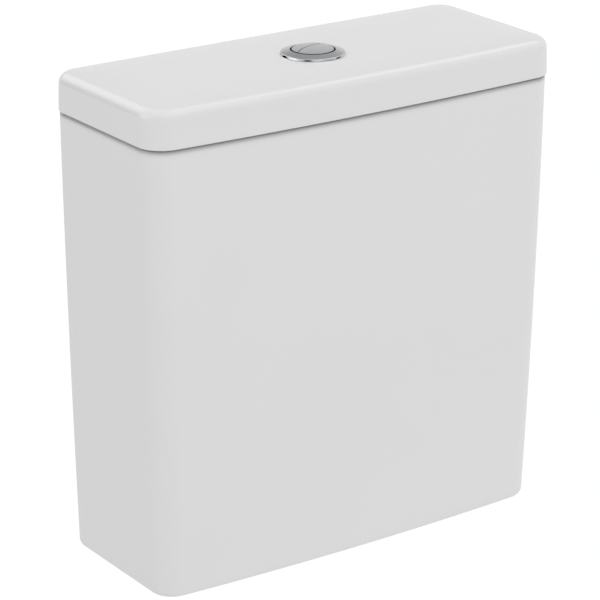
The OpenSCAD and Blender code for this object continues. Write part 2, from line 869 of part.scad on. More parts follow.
// Base of the flush valve: threaded tail, flange, valve seat and the ring that holds the cage
module flush_valve_base() {
    color(white_plastic) {
        rotate_extrude() polygon([
            [outlet_r, -tail_reach], [spigot_r, -tail_reach], [spigot_r, -thread_reach], [tail_r, -thread_reach],
            [tail_r, base_washer_top], [base_flange_r, base_washer_top], [base_flange_r, base_top],
            [seat_r, base_top], [seat_r - 0.8, seat_z], [outlet_r + 1, seat_z], [outlet_r, seat_z - 2]
        ]);
        translate([0, 0, base_top - cut])
            ring(cage_flange_r + rest_gap + 2, cage_flange_r + rest_gap, cage_flange_t + 2 + cut);
    }
}

// Flat washer between the base flange and the tank's floor
module flush_valve_washer() {
    color(black_rubber) translate([0, 0, floor_z]) ring(base_washer_r, tail_r + rest_gap, base_washer_t);
}

// Back nut under the tank's floor
module flush_valve_back_nut() {
    color(white_plastic) translate([0, 0, skirt_h - back_nut_h])
        lugged_ring(back_nut_r, tail_r + thread_gap, back_nut_h, 2.5, back_nut_lugs);
}

// Foam seal that slips over the back nut and beds on the pan
module coupling_seal() {
    top_z = skirt_h - 0.5;
    low_z = -coupling_seal_reach;
    nut_r = back_nut_r + 2.5 + rest_gap;
    nut_z = skirt_h - back_nut_h;
    bevel = 2.5;
    color(grey_foam) rotate_extrude() polygon([
        [tail_r + rest_gap, low_z], [coupling_seal_r - bevel, low_z], [coupling_seal_r, low_z + bevel],
        [coupling_seal_r, top_z - bevel], [coupling_seal_r - bevel, top_z], [nut_r, top_z],
        [nut_r, nut_z], [tail_r + rest_gap, nut_z]
    ]);
}

// Cage: windowed barrel with a guide for the overflow tube and two columns for the bridge
module flush_valve_cage() {
    inner_r = cage_r - cage_t;
    color(white_plastic) {
        difference() {
            rotate_extrude() polygon([
                [inner_r, base_top], [cage_flange_r, base_top], [cage_flange_r, base_top + cage_flange_t],
                [cage_r, base_top + cage_flange_t], [cage_r, cage_top], [tube_r + slide_gap, cage_top],
                [tube_r + slide_gap, cage_top - cage_top_t], [inner_r, cage_top - cage_top_t]
            ]);
            for (i = [0:window_n - 1])
                rotate(360 * i / window_n)
                    translate([inner_r / 2, -window_w / 2, base_top + cage_flange_t + window_sill])
                        cube([cage_r, window_w, window_h]);
        }
        for (side = [-1, 1])
            translate([0, side * column_y, cage_top - cut]) {
                translate([-column_w / 2, -column_t / 2, 0]) cube([column_w, column_t, column_h + cut]);
                translate([-column_w / 4, -column_t / 4, 0])
                    cube([column_w / 2, column_t / 2, column_h + bridge_t + 2 + cut]);
            }
    }
}

// Pair of ears on the bridge that hold a lever's pin
module bridge_ears(x, y) {
    for (side = [-1, 1])
        translate([x, y + side * (lever_w / 2 + slide_gap + ear_t / 2), 0]) {
            translate([-hub_r, -ear_t / 2, bridge_top - cut]) cube([2 * hub_r, ear_t, pivot_h + cut]);
            translate([0, 0, pivot_z]) cross_bar(hub_r, ear_t);
        }
}

// Bridge on the columns, with ears for both levers
module actuator_bridge() {
    reach_x = pivot_x + hub_r + 4;
    front_y = full_rod[1] - lever_w / 2 - slide_gap - ear_t - 3;
    rear_y = half_rod[1] + lever_w / 2 + slide_gap + ear_t + 3;
    reach_y = column_y + column_t / 2 + 2;
    bar_w = column_w + 4;
    color(white_plastic) difference() {
        union() {
            translate([-reach_x, front_y, bridge_z]) cube([2 * reach_x, rear_y - front_y, bridge_t]);
            translate([-bar_w / 2, -reach_y, bridge_z]) cube([bar_w, 2 * reach_y, bridge_t]);
            bridge_ears(pivot_x, full_rod[1]);
            bridge_ears(-pivot_x, half_rod[1]);
        }
        translate([pivot_x, full_rod[1], pivot_z]) cross_bar(lever_pin_r + pin_gap, 4 * lever_w);
        translate([-pivot_x, half_rod[1], pivot_z]) cross_bar(lever_pin_r + pin_gap, 4 * lever_w);
        for (side = [-1, 1])
            translate([0, side * column_y, bridge_z + bridge_t / 2])
                cube([column_w / 2 + 2 * thread_gap, column_t / 2 + 2 * thread_gap, bridge_t + 2 * cut], center = true);
    }
}

// Rocking lever: press pad, hub and nose along one bar
module flush_lever(pad_arm) {
    color(blue_plastic) difference() {
        union() {
            translate([-pad_arm, -lever_w / 2, -lever_t / 2]) cube([pad_arm + nose_arm, lever_w, lever_t]);
            translate([-pad_arm, 0, 0]) cross_bar(press_pad_r, lever_w);
            translate([nose_arm, 0, 0]) cross_bar(nose_r, lever_w);
            cross_bar(hub_r, lever_w);
        }
        cross_bar(lever_pin_r + pin_gap, lever_w + 2 * cut);
    }
}

module full_flush_lever() {
    translate([pivot_x, full_rod[1], pivot_z]) flush_lever(full_pad_arm);
}

module half_flush_lever() {
    translate([-pivot_x, half_rod[1], pivot_z]) mirror([1, 0, 0]) flush_lever(half_pad_arm);
}

// Two pins that the levers turn on
module lever_pins() {
    pin_len = lever_w + 2 * slide_gap + 2 * ear_t;
    color(plated_steel) {
        translate([pivot_x, full_rod[1], pivot_z]) cross_bar(lever_pin_r, pin_len);
        translate([-pivot_x, half_rod[1], pivot_z]) cross_bar(lever_pin_r, pin_len);
    }
}

// Overflow tube: foot flange over the seal, beads for its float and lifter, and an open mouth
module overflow_tube() {
    foot_t = 3;
    float_bead_z = full_float_z - bead_t;
    color(white_plastic) rotate_extrude() polygon([
        [tube_r - tube_t, tube_z], [seal_r - 1, tube_z], [seal_r - 1, tube_z + foot_t], [tube_r, tube_z + foot_t],
        [tube_r, float_bead_z], [bead_r, float_bead_z], [bead_r, float_bead_z + bead_t],
        [tube_r, float_bead_z + bead_t], [tube_r, full_bead_z], [bead_r, full_bead_z],
        [bead_r, full_bead_z + bead_t], [tube_r, full_bead_z + bead_t],
        [tube_r, tube_top], [tube_r - tube_t, tube_top]
    ]);
}

// Flat seal under the overflow tube's foot
module valve_seal() {
    color(black_rubber) translate([0, 0, seal_z]) ring(seal_r, tube_r - tube_t, seal_t);
}

// Retainer that clips into the tube and holds the seal up against its foot
module seal_retainer() {
    plug_r = tube_r - tube_t - thread_gap;
    bore = plug_r - 1.8;
    lip_r = outlet_r - 3;
    color(grey_plastic) rotate_extrude() polygon([
        [bore, seal_z - 2], [lip_r, seal_z - 2], [lip_r, seal_z], [plug_r, seal_z],
        [plug_r, tube_z + retainer_grip], [bore, tube_z + retainer_grip]
    ]);
}

// Full-flush float on the overflow tube, inside the cage
module full_flush_float() {
    color(blue_plastic) translate([0, 0, full_float_z])
        soft_ring(full_float_r, tube_r + thread_gap, full_float_h, float_edge_r);
}

// Lifter: collar round the tube, an arm to one side, and a strap with a hook over a lever's nose
module lifter(arm_z, low_z, bore, collar_r, y) {
    strap_out = strap_x + strap_t;
    hook_x = pivot_x + nose_arm - nose_r - 3;
    gusset = 14;
    difference() {
        union() {
            translate([0, 0, arm_z]) cylinder(r = collar_r, h = lifter_arm_t);
            translate([0, 0, low_z]) cylinder(r = bore + 2, h = arm_z - low_z + cut);
            translate([0, y - lifter_arm_w / 2, arm_z]) cube([strap_out, lifter_arm_w, lifter_arm_t]);
            translate([strap_x, y - lifter_arm_w / 2, arm_z])
                cube([strap_t, lifter_arm_w, hook_z + strap_t - arm_z]);
            translate([hook_x, y - lifter_arm_w / 2, hook_z])
                cube([strap_out - hook_x, lifter_arm_w, strap_t]);
            translate([0, y + strap_t / 2, arm_z + lifter_arm_t - cut]) rotate([90, 0, 0])
                linear_extrude(strap_t) polygon([
                    [strap_x - gusset, 0], [strap_x + cut, 0], [strap_x + cut, gusset], [strap_x, gusset]
                ]);
        }
        translate([0, 0, low_z - cut]) cylinder(r = bore, h = arm_z + lifter_arm_t - low_z + 2 * cut);
    }
}

module full_flush_lifter() {
    color(blue_plastic) lifter(full_arm_z, full_arm_z, tube_r + thread_gap, tube_r + 5, full_rod[1]);
}

// Half-flush lifter: a sleeve that slides on the tube and carries its own float on a shoulder
module half_flush_lifter() {
    sleeve_bore = tube_r + slide_gap;
    color(blue_plastic) {
        mirror([1, 0, 0])
            lifter(half_arm_z, cage_top + rest_gap, sleeve_bore, sleeve_bore + 6, half_rod[1]);
        translate([0, 0, cage_top + rest_gap]) ring(sleeve_bore + 4, sleeve_bore, 5);
    }
}

// Half-flush float on the lifter's sleeve
module half_flush_float() {
    color(grey_plastic) translate([0, 0, cage_top + rest_gap + 5])
        soft_ring(half_float_r, tube_r + slide_gap + 2 + thread_gap, half_float_h, float_edge_r);
}

// Shank of the fill valve: threaded inlet, flange and inner riser round one bore
module fill_valve_shank() {
    color(white_plastic) at_fill_valve() rotate_extrude() polygon([
        [supply_r, -inlet_reach], [inlet_r, -inlet_reach], [inlet_r, 0], [shank_r, 0],
        [shank_r, shank_washer_top], [shank_flange_r, shank_washer_top], [shank_flange_r, shank_top],
        [inner_riser_r, shank_top], [inner_riser_r, inner_riser_top], [supply_r, inner_riser_top]
    ]);
}

// Washer between the shank's flange and the tank's floor
module fill_valve_washer() {
    color(black_rubber) at_fill_valve() translate([0, 0, floor_z])
        ring(shank_flange_r - 1, shank_r + rest_gap, shank_washer_t);
}

// Hexagon nut under the tank's floor
module fill_valve_nut() {
    color(white_plastic) at_fill_valve() translate([0, 0, skirt_h - shank_nut_h]) difference() {
        cylinder(r = shank_nut_w / 2, h = shank_nut_h, $fn = 6);
        translate([0, 0, -cut]) cylinder(r = shank_r + thread_gap, h = shank_nut_h + 2 * cut);
    }
}

// Strainer in the mouth of the inlet
module inlet_filter() {
    cup = supply_r - thread_gap;
    lip_t = 1.2;
    depth = 16;
    color(grey_plastic) at_fill_valve() translate([0, 0, -inlet_reach]) rotate_extrude() polygon([
        [cup - 1, -lip_t], [inlet_r - 1, -lip_t], [inlet_r - 1, 0], [cup, 0], [cup, depth], [0, depth],
        [0, depth - 1], [cup - 1, depth - 1]
    ]);
}

// Outer riser that slides on the inner one and carries the head
module fill_valve_riser() {
    bore = inner_riser_r + rest_gap;
    color(white_plastic) at_fill_valve() rotate_extrude() polygon([
        [bore, riser_z], [riser_r + 1.5, riser_z], [riser_r + 1.5, riser_z + riser_lip_t],
        [riser_r, riser_z + riser_lip_t], [riser_r, riser_top], [bore, riser_top]
    ]);
}

// Collar that locks the riser at its height
module riser_lock_collar() {
    bore = riser_r + thread_gap;
    color(grey_plastic) at_fill_valve() translate([0, 0, riser_z + riser_lip_t])
        lugged_ring(bore + lock_collar_t, bore, lock_collar_h, 1.5, 10);
}

// Head on the riser, with a seat for the diaphragm
module fill_valve_head() {
    color(white_plastic) at_fill_valve() translate([0, 0, head_z]) difference() {
        union() {
            cylinder(r1 = riser_r + head_wall, r2 = head_r, h = head_taper);
            translate([0, 0, head_taper]) cylinder(r = head_r, h = head_h - head_taper);
        }
        translate([0, 0, -cut]) cylinder(r = riser_r + thread_gap, h = head_socket + cut);
        cylinder(r = supply_r, h = head_h + cut);
        translate([0, 0, head_h - diaphragm_t / 2]) cylinder(r = diaphragm_r + rest_gap, h = diaphragm_t);
    }
}

// Diaphragm clamped between the head and its cap
module valve_diaphragm() {
    color(black_rubber) at_fill_valve() translate([0, 0, head_top - diaphragm_t / 2])
        cylinder(r = diaphragm_r, h = diaphragm_t);
}

// Cap of the head, with the pilot nozzle and ears for the float lever
module fill_valve_cap() {
    ear_half = float_lever_w / 2 + slide_gap;
    ear = 2.2;
    ear_r = float_pin_r + 2.2;
    color(white_plastic) at_fill_valve() difference() {
        union() {
            translate([0, 0, head_top]) cylinder(r = cap_r, h = cap_h);
            for (i = [0:cap_ribs - 1])
                rotate(360 * (i + 0.5) / cap_ribs) translate([cap_r, 0, head_top])
                    cylinder(r = cap_rib_r, h = cap_h - 2 * cap_rib_r);
            translate([pilot_arm - float_pivot_off, 0, cap_top - cut]) cylinder(r = 2.4, h = cut + 0.6);
            for (side = [-1, 1])
                translate([-float_pivot_off, side * (ear_half + ear / 2), 0]) {
                    translate([-ear_r, -ear / 2, cap_top - cut]) cube([2 * ear_r, ear, float_pivot_h + cut]);
                    translate([0, 0, float_pivot_z]) cross_bar(ear_r, ear);
                }
        }
        translate([0, 0, head_top - cut]) cylinder(r = diaphragm_r + rest_gap, h = diaphragm_t / 2 + cut);
        translate([-float_pivot_off, 0, float_pivot_z]) cross_bar(float_pin_r + pin_gap, 3 * float_lever_w);
    }
}

// Float that slides on the riser, with a socket for the link
module float_cup() {
    bore = riser_r + cup_gap;
    band_t = 1;
    band_h = 3;
    color(blue_plastic) at_fill_valve() {
        translate([0, 0, cup_z]) {
            soft_ring(cup_r, bore, cup_h, float_edge_r);
            translate([0, 0, cup_h - band_h - 2 * float_edge_r]) ring(cup_r + band_t, bore, band_h);
        }
        translate([-link_off, 0, cup_top]) ring(link_r + 2.2, link_r + thread_gap, link_socket_h);
    }
}

// Link from the float to its lever, with a collar above and below the lever
module float_link() {
    color(grey_plastic) at_fill_valve() translate([-link_off, 0, 0]) {
        translate([0, 0, cup_top])
            cylinder(r = link_r, h = link_mid_z + link_collar_off + link_collar_t + 2 - cup_top);
        translate([0, 0, link_mid_z + link_collar_off]) cylinder(r = link_collar_r, h = link_collar_t);
        translate([0, 0, link_mid_z - link_collar_off - link_collar_t])
            cylinder(r = link_collar_r, h = link_collar_t);
    }
}

// Float lever, drawn with the float dropped: slotted end, hub and pilot pin
module float_lever() {
    slot_w = 2 * link_r + 2 * slide_gap;
    slot_len = slot_w + 2 * slide_gap + 1;
    end_w = slot_w + 4;
    end_len = slot_len + 4;
    hub = float_pin_r + 2.2;
    color(grey_plastic) at_fill_valve() translate([-float_pivot_off, 0, float_pivot_z])
        rotate([0, -float_tilt, 0]) difference() {
            union() {
                translate([-float_arm, -float_lever_w / 2, -float_lever_t / 2])
                    cube([float_arm + pilot_arm + lever_tail, float_lever_w, float_lever_t]);
                translate([-float_arm, 0, 0]) cube([end_len, end_w, float_lever_t], center = true);
                cross_bar(hub, float_lever_w);
                translate([pilot_arm, 0, -float_lever_t / 2 - pilot_len])
                    cylinder(r = 2, h = pilot_len + float_lever_t / 2);
            }
            cross_bar(float_pin_r + pin_gap, float_lever_w + 2 * cut);
            translate([-float_arm, 0, 0]) cube([slot_len, slot_w, 4 * float_lever_t], center = true);
        }
}

// Pin that the float lever turns on
module float_lever_pin() {
    color(plated_steel) at_fill_valve() translate([-float_pivot_off, 0, float_pivot_z])
        cross_bar(float_pin_r, float_lever_w + 2 * slide_gap + 4.4);
}

// Two bolts that hold the tank on the pan: slotted head, plain shank and threaded end
module coupling_bolts() {
    thread_z = low_nut_z - 1;
    color(plated_steel) at_bolts() {
        difference() {
            translate([0, 0, bolt_head_z]) cylinder(r = bolt_head_r, h = bolt_head_h);
            translate([-bolt_head_r - cut, -0.8, bolt_head_z + bolt_head_h - 2])
                cube([2 * bolt_head_r + 2 * cut, 1.6, 2 + cut]);
        }
        translate([0, 0, thread_z]) cylinder(r = bolt_r, h = bolt_head_z - thread_z + cut);
        translate([0, 0, -bolt_reach]) cylinder(r = bolt_thread_r, h = thread_z + bolt_reach + cut);
    }
}

// Tapered rubber seals under the bolts' heads
module bolt_seals() {
    color(black_rubber) at_bolts() translate([0, 0, floor_z]) difference() {
        cylinder(r1 = bolt_seal_r, r2 = bolt_seal_r - 1.5, h = bolt_seal_t);
        translate([0, 0, -cut]) cylinder(r = bolt_r + rest_gap, h = bolt_seal_t + 2 * cut);
    }
}

// Plate washers above the rubber seals and under the floor
module bolt_washers() {
    color(plated_steel) at_bolts()
        for (z = [floor_z + bolt_seal_t, skirt_h - plate_washer_t])
            translate([0, 0, z]) ring(plate_washer_r, bolt_r + rest_gap, plate_washer_t);
}

// Hexagon nuts that clamp the bolts to the tank's floor
module coupling_nuts() {
    color(plated_steel) at_bolts() translate([0, 0, low_nut_z]) difference() {
        cylinder(r = bolt_nut_w / 2, h = bolt_nut_h, $fn = 6);
        translate([0, 0, -cut]) cylinder(r = bolt_r + thread_gap, h = bolt_nut_h + 2 * cut);
    }
}

cistern_tank();
cistern_lid();
lid_pads();
button_bezel();
button_locknut();
button_carrier();
full_flush_button();
half_flush_button();
full_flush_spring();
half_flush_spring();
full_flush_pushrod();
half_flush_pushrod();
flush_valve_base();
flush_valve_washer();
flush_valve_back_nut();
coupling_seal();
flush_valve_cage();
actuator_bridge();
full_flush_lever();
half_flush_lever();
lever_pins();
overflow_tube();
valve_seal();
seal_retainer();
full_flush_float();
full_flush_lifter();
half_flush_lifter();
half_flush_float();
fill_valve_shank();
fill_valve_washer();
fill_valve_nut();
inlet_filter();
fill_valve_riser();
riser_lock_collar();
fill_valve_head();
valve_diaphragm();
fill_valve_cap();
float_cup();
float_link();
float_lever();
float_lever_pin();
coupling_bolts();
bolt_seals();
bolt_washers();
coupling_nuts();
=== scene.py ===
"""Looks of a close-coupled toilet cistern: glazed tank and lid, split push button and the valves inside.

Sizes of the sub-assemblies are in millimetres and become metres when a mesh is made. Finishes and the
studio are in metres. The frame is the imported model's: the origin lies on the flush outlet's axis in the
seat plane, -Y faces the front and +Z is up.
"""

import logging
import math
from collections.abc import Callable, Iterable, Sequence
from dataclasses import dataclass, field, replace
from enum import Enum
from typing import Any

import bmesh
import bpy
from mathutils import Matrix, Vector

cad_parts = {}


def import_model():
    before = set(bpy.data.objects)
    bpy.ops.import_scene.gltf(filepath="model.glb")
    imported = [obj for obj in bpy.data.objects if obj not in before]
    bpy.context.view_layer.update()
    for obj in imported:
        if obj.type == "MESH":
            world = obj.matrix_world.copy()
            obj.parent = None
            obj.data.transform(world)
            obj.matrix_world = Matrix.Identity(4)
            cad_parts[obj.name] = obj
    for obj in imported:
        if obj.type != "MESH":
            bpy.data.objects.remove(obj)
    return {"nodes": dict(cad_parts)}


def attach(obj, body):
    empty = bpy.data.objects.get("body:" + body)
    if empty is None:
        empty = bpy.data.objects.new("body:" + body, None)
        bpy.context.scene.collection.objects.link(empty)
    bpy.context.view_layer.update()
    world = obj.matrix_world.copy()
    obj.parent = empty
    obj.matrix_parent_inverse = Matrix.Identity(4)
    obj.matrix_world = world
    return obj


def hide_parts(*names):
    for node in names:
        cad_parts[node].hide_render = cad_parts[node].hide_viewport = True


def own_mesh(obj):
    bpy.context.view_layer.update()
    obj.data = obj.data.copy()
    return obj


frame: dict[str, Any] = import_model()

log = logging.getLogger("cistern")
MM = 0.001
MERGE = 1e-7
SHARP = 30.0
BLOCK_SHARP = 40.0
BEVEL_STEPS = 3
BEVEL_SHAPE = 0.5
FLAT = (1.0, 1.0, 0.0)
WHITE_LIGHT = (1.0, 1.0, 1.0, 1.0)
Point = tuple[float, float, float]
Pair = tuple[float, float]
Profile = list[Pair]


class Slot(Enum):
    """Material slots of the record."""

    GLAZE = "glaze"
    CHROME = "chrome"
    WHITE = "white_plastic"
    GREY = "grey_plastic"
    BLUE = "blue_plastic"
    RUBBER = "black_rubber"
    FOAM = "grey_foam"
    SILICONE = "silicone"
    STEEL = "plated_steel"


class Body(Enum):
    """Bodies of the frame that take new pieces."""

    TANK = "tank"
    LID = "lid"
    FLOAT = "float"
    FULL_BUTTON = "full_button"
    HALF_BUTTON = "half_button"


class Cut(Enum):
    """Ways in which one closed mesh changes another."""

    AWAY = "DIFFERENCE"
    JOIN = "UNION"
    KEEP = "INTERSECT"


def math_method(operation: str, swapped: bool = False) -> Callable[["Sock", Any], "Sock"]:
    """Make an operator of a socket.

    Args:
        operation: Operation of the Math node that it adds.
        swapped: Whether the other value comes first.

    Returns:
        The operator as a method.
    """
    def method(this: "Sock", other: "Sock | float") -> "Sock":
        """Add the Math node."""
        a, b = (other, this) if swapped else (this, other)
        return this.graph.node("ShaderNodeMath", {"operation": operation}, {0: a, 1: b})
    return method


class Sock:
    """A node's output that takes part in Python expressions."""

    def __init__(self, graph: "Graph", socket: bpy.types.NodeSocket) -> None:
        """Hold the graph and the socket."""
        self.graph = graph
        self.socket = socket

    __add__, __radd__ = math_method("ADD"), math_method("ADD", True)
    __sub__, __rsub__ = math_method("SUBTRACT"), math_method("SUBTRACT", True)
    __mul__, __rmul__ = math_method("MULTIPLY"), math_method("MULTIPLY", True)
    __truediv__, __rpow__ = math_method("DIVIDE"), math_method("POWER", True)
    __lt__, __gt__ = math_method("LESS_THAN"), math_method("GREATER_THAN")


class Graph:
    """A node tree with one way to add any node."""

    def __init__(self, tree: bpy.types.NodeTree) -> None:
        """Hold the tree."""
        self.tree = tree

    def node(self, kind: str, settings: dict[str, Any] | None = None,
             sockets: dict[int | str, Any] | None = None, out: int | str = 0) -> Sock:
        """Add a node, set its settings first and its sockets after.

        Args:
            kind: The node's type.
            settings: Properties of the node.
            sockets: Values or links of its inputs, by index or name; None leaves an input as it is.
            out: Index or name of the output that is returned.

        Returns:
            The chosen output, or the first input of a node without outputs.
        """
        made = self.tree.nodes.new(kind)
        for key, value in (settings or {}).items():
            setattr(made, key, value)
        for key, value in (sockets or {}).items():
            if isinstance(value, Sock):
                self.tree.links.new(value.socket, made.inputs[key])
            elif value is not None:
                made.inputs[key].default_value = value
        return Sock(self, made.outputs[out] if made.outputs else made.inputs[0])

    def blend(self, a: Any, b: Any, factor: Sock | float) -> Sock:
        """Mix two colours by a factor."""
        return self.node("ShaderNodeMix", {"data_type": "RGBA"}, {0: factor, 6: a, 7: b}, out=2)

    def band(self, value: Sock, low: float, high: float, to_low: float, to_high: float,
             curve: str = "LINEAR") -> Sock:
        """Map a value from one band to another, held at its ends."""
        return self.node("ShaderNodeMapRange", {"clamp": True, "interpolation_type": curve},
                         {0: value, 1: low, 2: high, 3: to_low, 4: to_high})

    def coords(self, kind: str = "Object") -> Sock:
        """Coordinates of a kind; those of the object are in metres."""
        return self.node("ShaderNodeTexCoord", out=kind)

    def stretched(self, coords: Sock, scale: Point) -> Sock:
        """Coordinates scaled along each axis."""
        return self.node("ShaderNodeMapping", {}, {"Vector": coords, "Scale": scale})

    def part(self, coords: Sock, axis: int) -> Sock:
        """One part of a vector."""
        return self.node("ShaderNodeSeparateXYZ", {}, {0: coords}, out=axis)

    def vector(self, operation: str, a: Any, b: Any = None) -> Sock:
        """Number made of one vector or two."""
        return self.node("ShaderNodeVectorMath", {"operation": operation}, {0: a, 1: b}, out=1)

    def bump(self, value: Sock, strength: float, distance: float, under: Sock | None = None) -> Sock:
        """Normal of a surface that is raised by a value."""
        return self.node("ShaderNodeBump", {}, {
            "Height": value, "Strength": strength, "Distance": distance, "Normal": under})


def fresh_graph(owner: bpy.types.Material | bpy.types.World) -> Graph:
    """Empty the node tree of a material or a world.

    Args:
        owner: The material or the world.

    Returns:
        Its empty tree.
    """
    owner.use_nodes = True
    owner.node_tree.nodes.clear()
    return Graph(owner.node_tree)


def rgba(colour: Point, share: float = 1.0) -> tuple[float, ...]:
    """A colour with alpha, times a share and held below one."""
    return (*(min(1.0, share * c) for c in colour), 1.0)


@dataclass(frozen=True)
class Texture:
    """Noise over a surface."""

    scale: float
    detail: float = 2.0
    rough: float = 0.5
    stretch: Point | None = None

    def value(self, graph: Graph, at: Sock) -> Sock:
        """Noise value between zero and one at points of the surface."""
        coords = graph.stretched(at, self.stretch) if self.stretch else at
        return graph.node("ShaderNodeTexNoise", {}, {
            "Vector": coords, "Scale": self.scale, "Detail": self.detail, "Roughness": self.rough})


@dataclass(frozen=True)
class Finish:
    """A surface with a procedural material that is made once."""

    name: str
    slot: Slot

    def material(self) -> bpy.types.Material:
        """Return the material, made at its first use.

        Returns:
            The finish's material.
        """
        found = bpy.data.materials.get(self.name)
        if found is None:
            found = bpy.data.materials.new(self.name)
            graph = fresh_graph(found)
            shader = graph.node("ShaderNodeBsdfPrincipled", {}, self.sockets(graph))
            graph.node("ShaderNodeOutputMaterial", {}, {"Surface": shader})
        return found

    def sockets(self, graph: Graph) -> dict[str, Any]:
        """Sockets of the surface shader; each finish gives its own."""
        raise NotImplementedError


@dataclass(frozen=True)
class Glaze(Finish):
    """White vitreous glaze with a faint orange peel, a painted shade on the outer side just below the rim,
    and bare at the foot.
    """

    colour: Point = (0.80, 0.80, 0.799)
    tones: Pair = (0.985, 1.012)
    # Colour of the painted shade on the outer side below the rim.
    painted_shade: Point = (0.10, 0.10, 0.105)
    bare: Point = (0.66, 0.63, 0.57)
    bare_light: Point = (0.78, 0.75, 0.69)
    bare_rough: float = 0.5
    foot_z: float = 0.0006
    # Painted shade below the rim: where it starts, how fast it fades, how dark it gets and which faces count
    # as the outer side.
    rim_z: float = 0.3485
    rim_slack: float = 0.0002
    painted_shade_fade: float = 0.0026
    painted_shade_depth: float = 0.60
    outer_side: float = 0.02
    spread: Pair = (0.3, 0.7)
    rough: Pair = (0.11, 0.16)
    ior: float = 1.52
    specular: float = 0.5
    cloud: Texture = Texture(9.0, 3.0)
    peel: Texture = Texture(260.0)
    peel_relief: Pair = (0.018, 0.0004)
    wave: Texture = Texture(14.0, 1.0)
    wave_relief: Pair = (0.05, 0.002)
    grain: Texture = Texture(1800.0, 4.0, 0.6)

    def sockets(self, graph: Graph) -> dict[str, Any]:
        """Sockets of the glaze.

        Args:
            graph: The material's node tree.

        Returns:
            Values and links of the surface shader.
        """
        at = graph.coords()
        cloud = self.cloud.value(graph, at)
        height = graph.part(at, 2)
        bare = height < self.foot_z
        # Painted shade: the outer side just below the rim darkens in a short Gaussian fall, standing in for
        # the shadow under the lid's overhang.
        below = (self.rim_z - height) / self.painted_shade_fade
        outward = graph.vector("DOT_PRODUCT", graph.coords("Normal"), graph.stretched(at, FLAT))
        outside = (height < self.rim_z + self.rim_slack) * (outward > self.outer_side)
        painted_shade = outside * math.e ** (0.0 - below * below) * self.painted_shade_depth
        tone = graph.blend(*(rgba(self.colour, share) for share in self.tones), cloud)
        tone = graph.blend(tone, rgba(self.painted_shade), painted_shade)
        foot = graph.blend(rgba(self.bare), rgba(self.bare_light), self.grain.value(graph, at))
        peel = graph.bump(self.peel.value(graph, at), *self.peel_relief)
        return {"Base Color": graph.blend(tone, foot, bare),
                "Roughness": graph.band(cloud, *self.spread, *self.rough) + bare * self.bare_rough,
                "Normal": graph.bump(self.wave.value(graph, at), *self.wave_relief, peel),
                "IOR": self.ior, "Specular IOR Level": self.specular}


@dataclass(frozen=True)
class Chrome(Finish):
    """Bright plating with fine wiping marks and a breath of haze; inside the button's gap it stops, and the
    unplated band is painted near-black as the gap's shade.
    """

    colour: Point = (0.60, 0.605, 0.625)
    tones: Pair = (0.96, 1.04)
    spread: Pair = (0.3, 0.7)
    rough: Pair = (0.07, 0.14)
    mark_rough: float = 0.03
    # Near-black of the unplated band in the button's gap, painted as the gap's shade.
    bare: Point = (0.03, 0.03, 0.033)
    bare_rough: float = 0.3
    gap_shade_inner: float = 0.01585
    gap_shade_outer: float = 0.01710
    gap_shade_top: float = 0.38238
    haze: Texture = Texture(120.0, 3.0)
    marks: Texture = Texture(1.0, 3.0, 0.65, (900.0, 5200.0, 900.0))
    relief: Pair = (0.02, 0.0001)

    def sockets(self, graph: Graph) -> dict[str, Any]:
        """Sockets of the plating.

        Args:
            graph: The material's node tree.

        Returns:
            Values and links of the surface shader.
        """
        at = graph.coords()
        haze, marks = self.haze.value(graph, at), self.marks.value(graph, at)
        radius = graph.vector("LENGTH", graph.stretched(at, FLAT))
        # Painted shade: inside the button's gap the plating stops and the band is near-black and not
        # metallic.
        gap = (radius > self.gap_shade_inner) * (radius < self.gap_shade_outer) * (graph.part(at, 2) < self.gap_shade_top)
        tone = graph.blend(*(rgba(self.colour, share) for share in self.tones), haze)
        rough = graph.band(haze, *self.spread, *self.rough) + self.mark_rough * marks
        return {"Base Color": graph.blend(tone, rgba(self.bare), gap), "Metallic": 1.0 - gap,
                "Roughness": rough + self.bare_rough * gap, "Normal": graph.bump(marks, *self.relief)}


@dataclass(frozen=True)
class Clouded(Finish):
    """Two tones that drift into each other over a fine grain; as it stands, injection-moulded plastic."""

    colour: Point = (0.80, 0.81, 0.81)
    second: Point | None = None
    tones: Pair = (0.93, 1.05)
    mix: Point = (0.0, 1.0, 1.0)
    cloud: Texture = Texture(45.0, 3.0)
    flow: Texture = Texture(1.0, 2.0, 0.5, (60.0, 60.0, 9.0))
    flow_share: float = 0.45
    spread: Pair = (0.25, 0.75)
    rough: Pair = (0.28, 0.42)
    grain: Texture = Texture(2600.0)
    relief: Pair = (0.10, 0.0002)
    metal: float = 0.0
    ior: float | None = 1.49

    def sockets(self, graph: Graph) -> dict[str, Any]:
        """Sockets of the surface.

        Args:
            graph: The material's node tree.

        Returns:
            Values and links of the surface shader.
        """
        at = graph.coords()
        cloud = drift = self.cloud.value(graph, at)
        if self.flow_share:
            drift = (1.0 - self.flow_share) * cloud + self.flow_share * self.flow.value(graph, at)
        pair = [rgba(self.colour, share) for share in self.tones]
        if self.second:
            pair = [rgba(self.colour), rgba(self.second)]
        low, high, top = self.mix
        return {"Base Color": graph.blend(*pair, graph.band(drift, low, high, 0.0, top)),
                "Metallic": self.metal, "IOR": self.ior,
                "Roughness": graph.band(cloud, *self.spread, *self.rough),
                "Normal": graph.bump(self.grain.value(graph, at), *self.relief)}


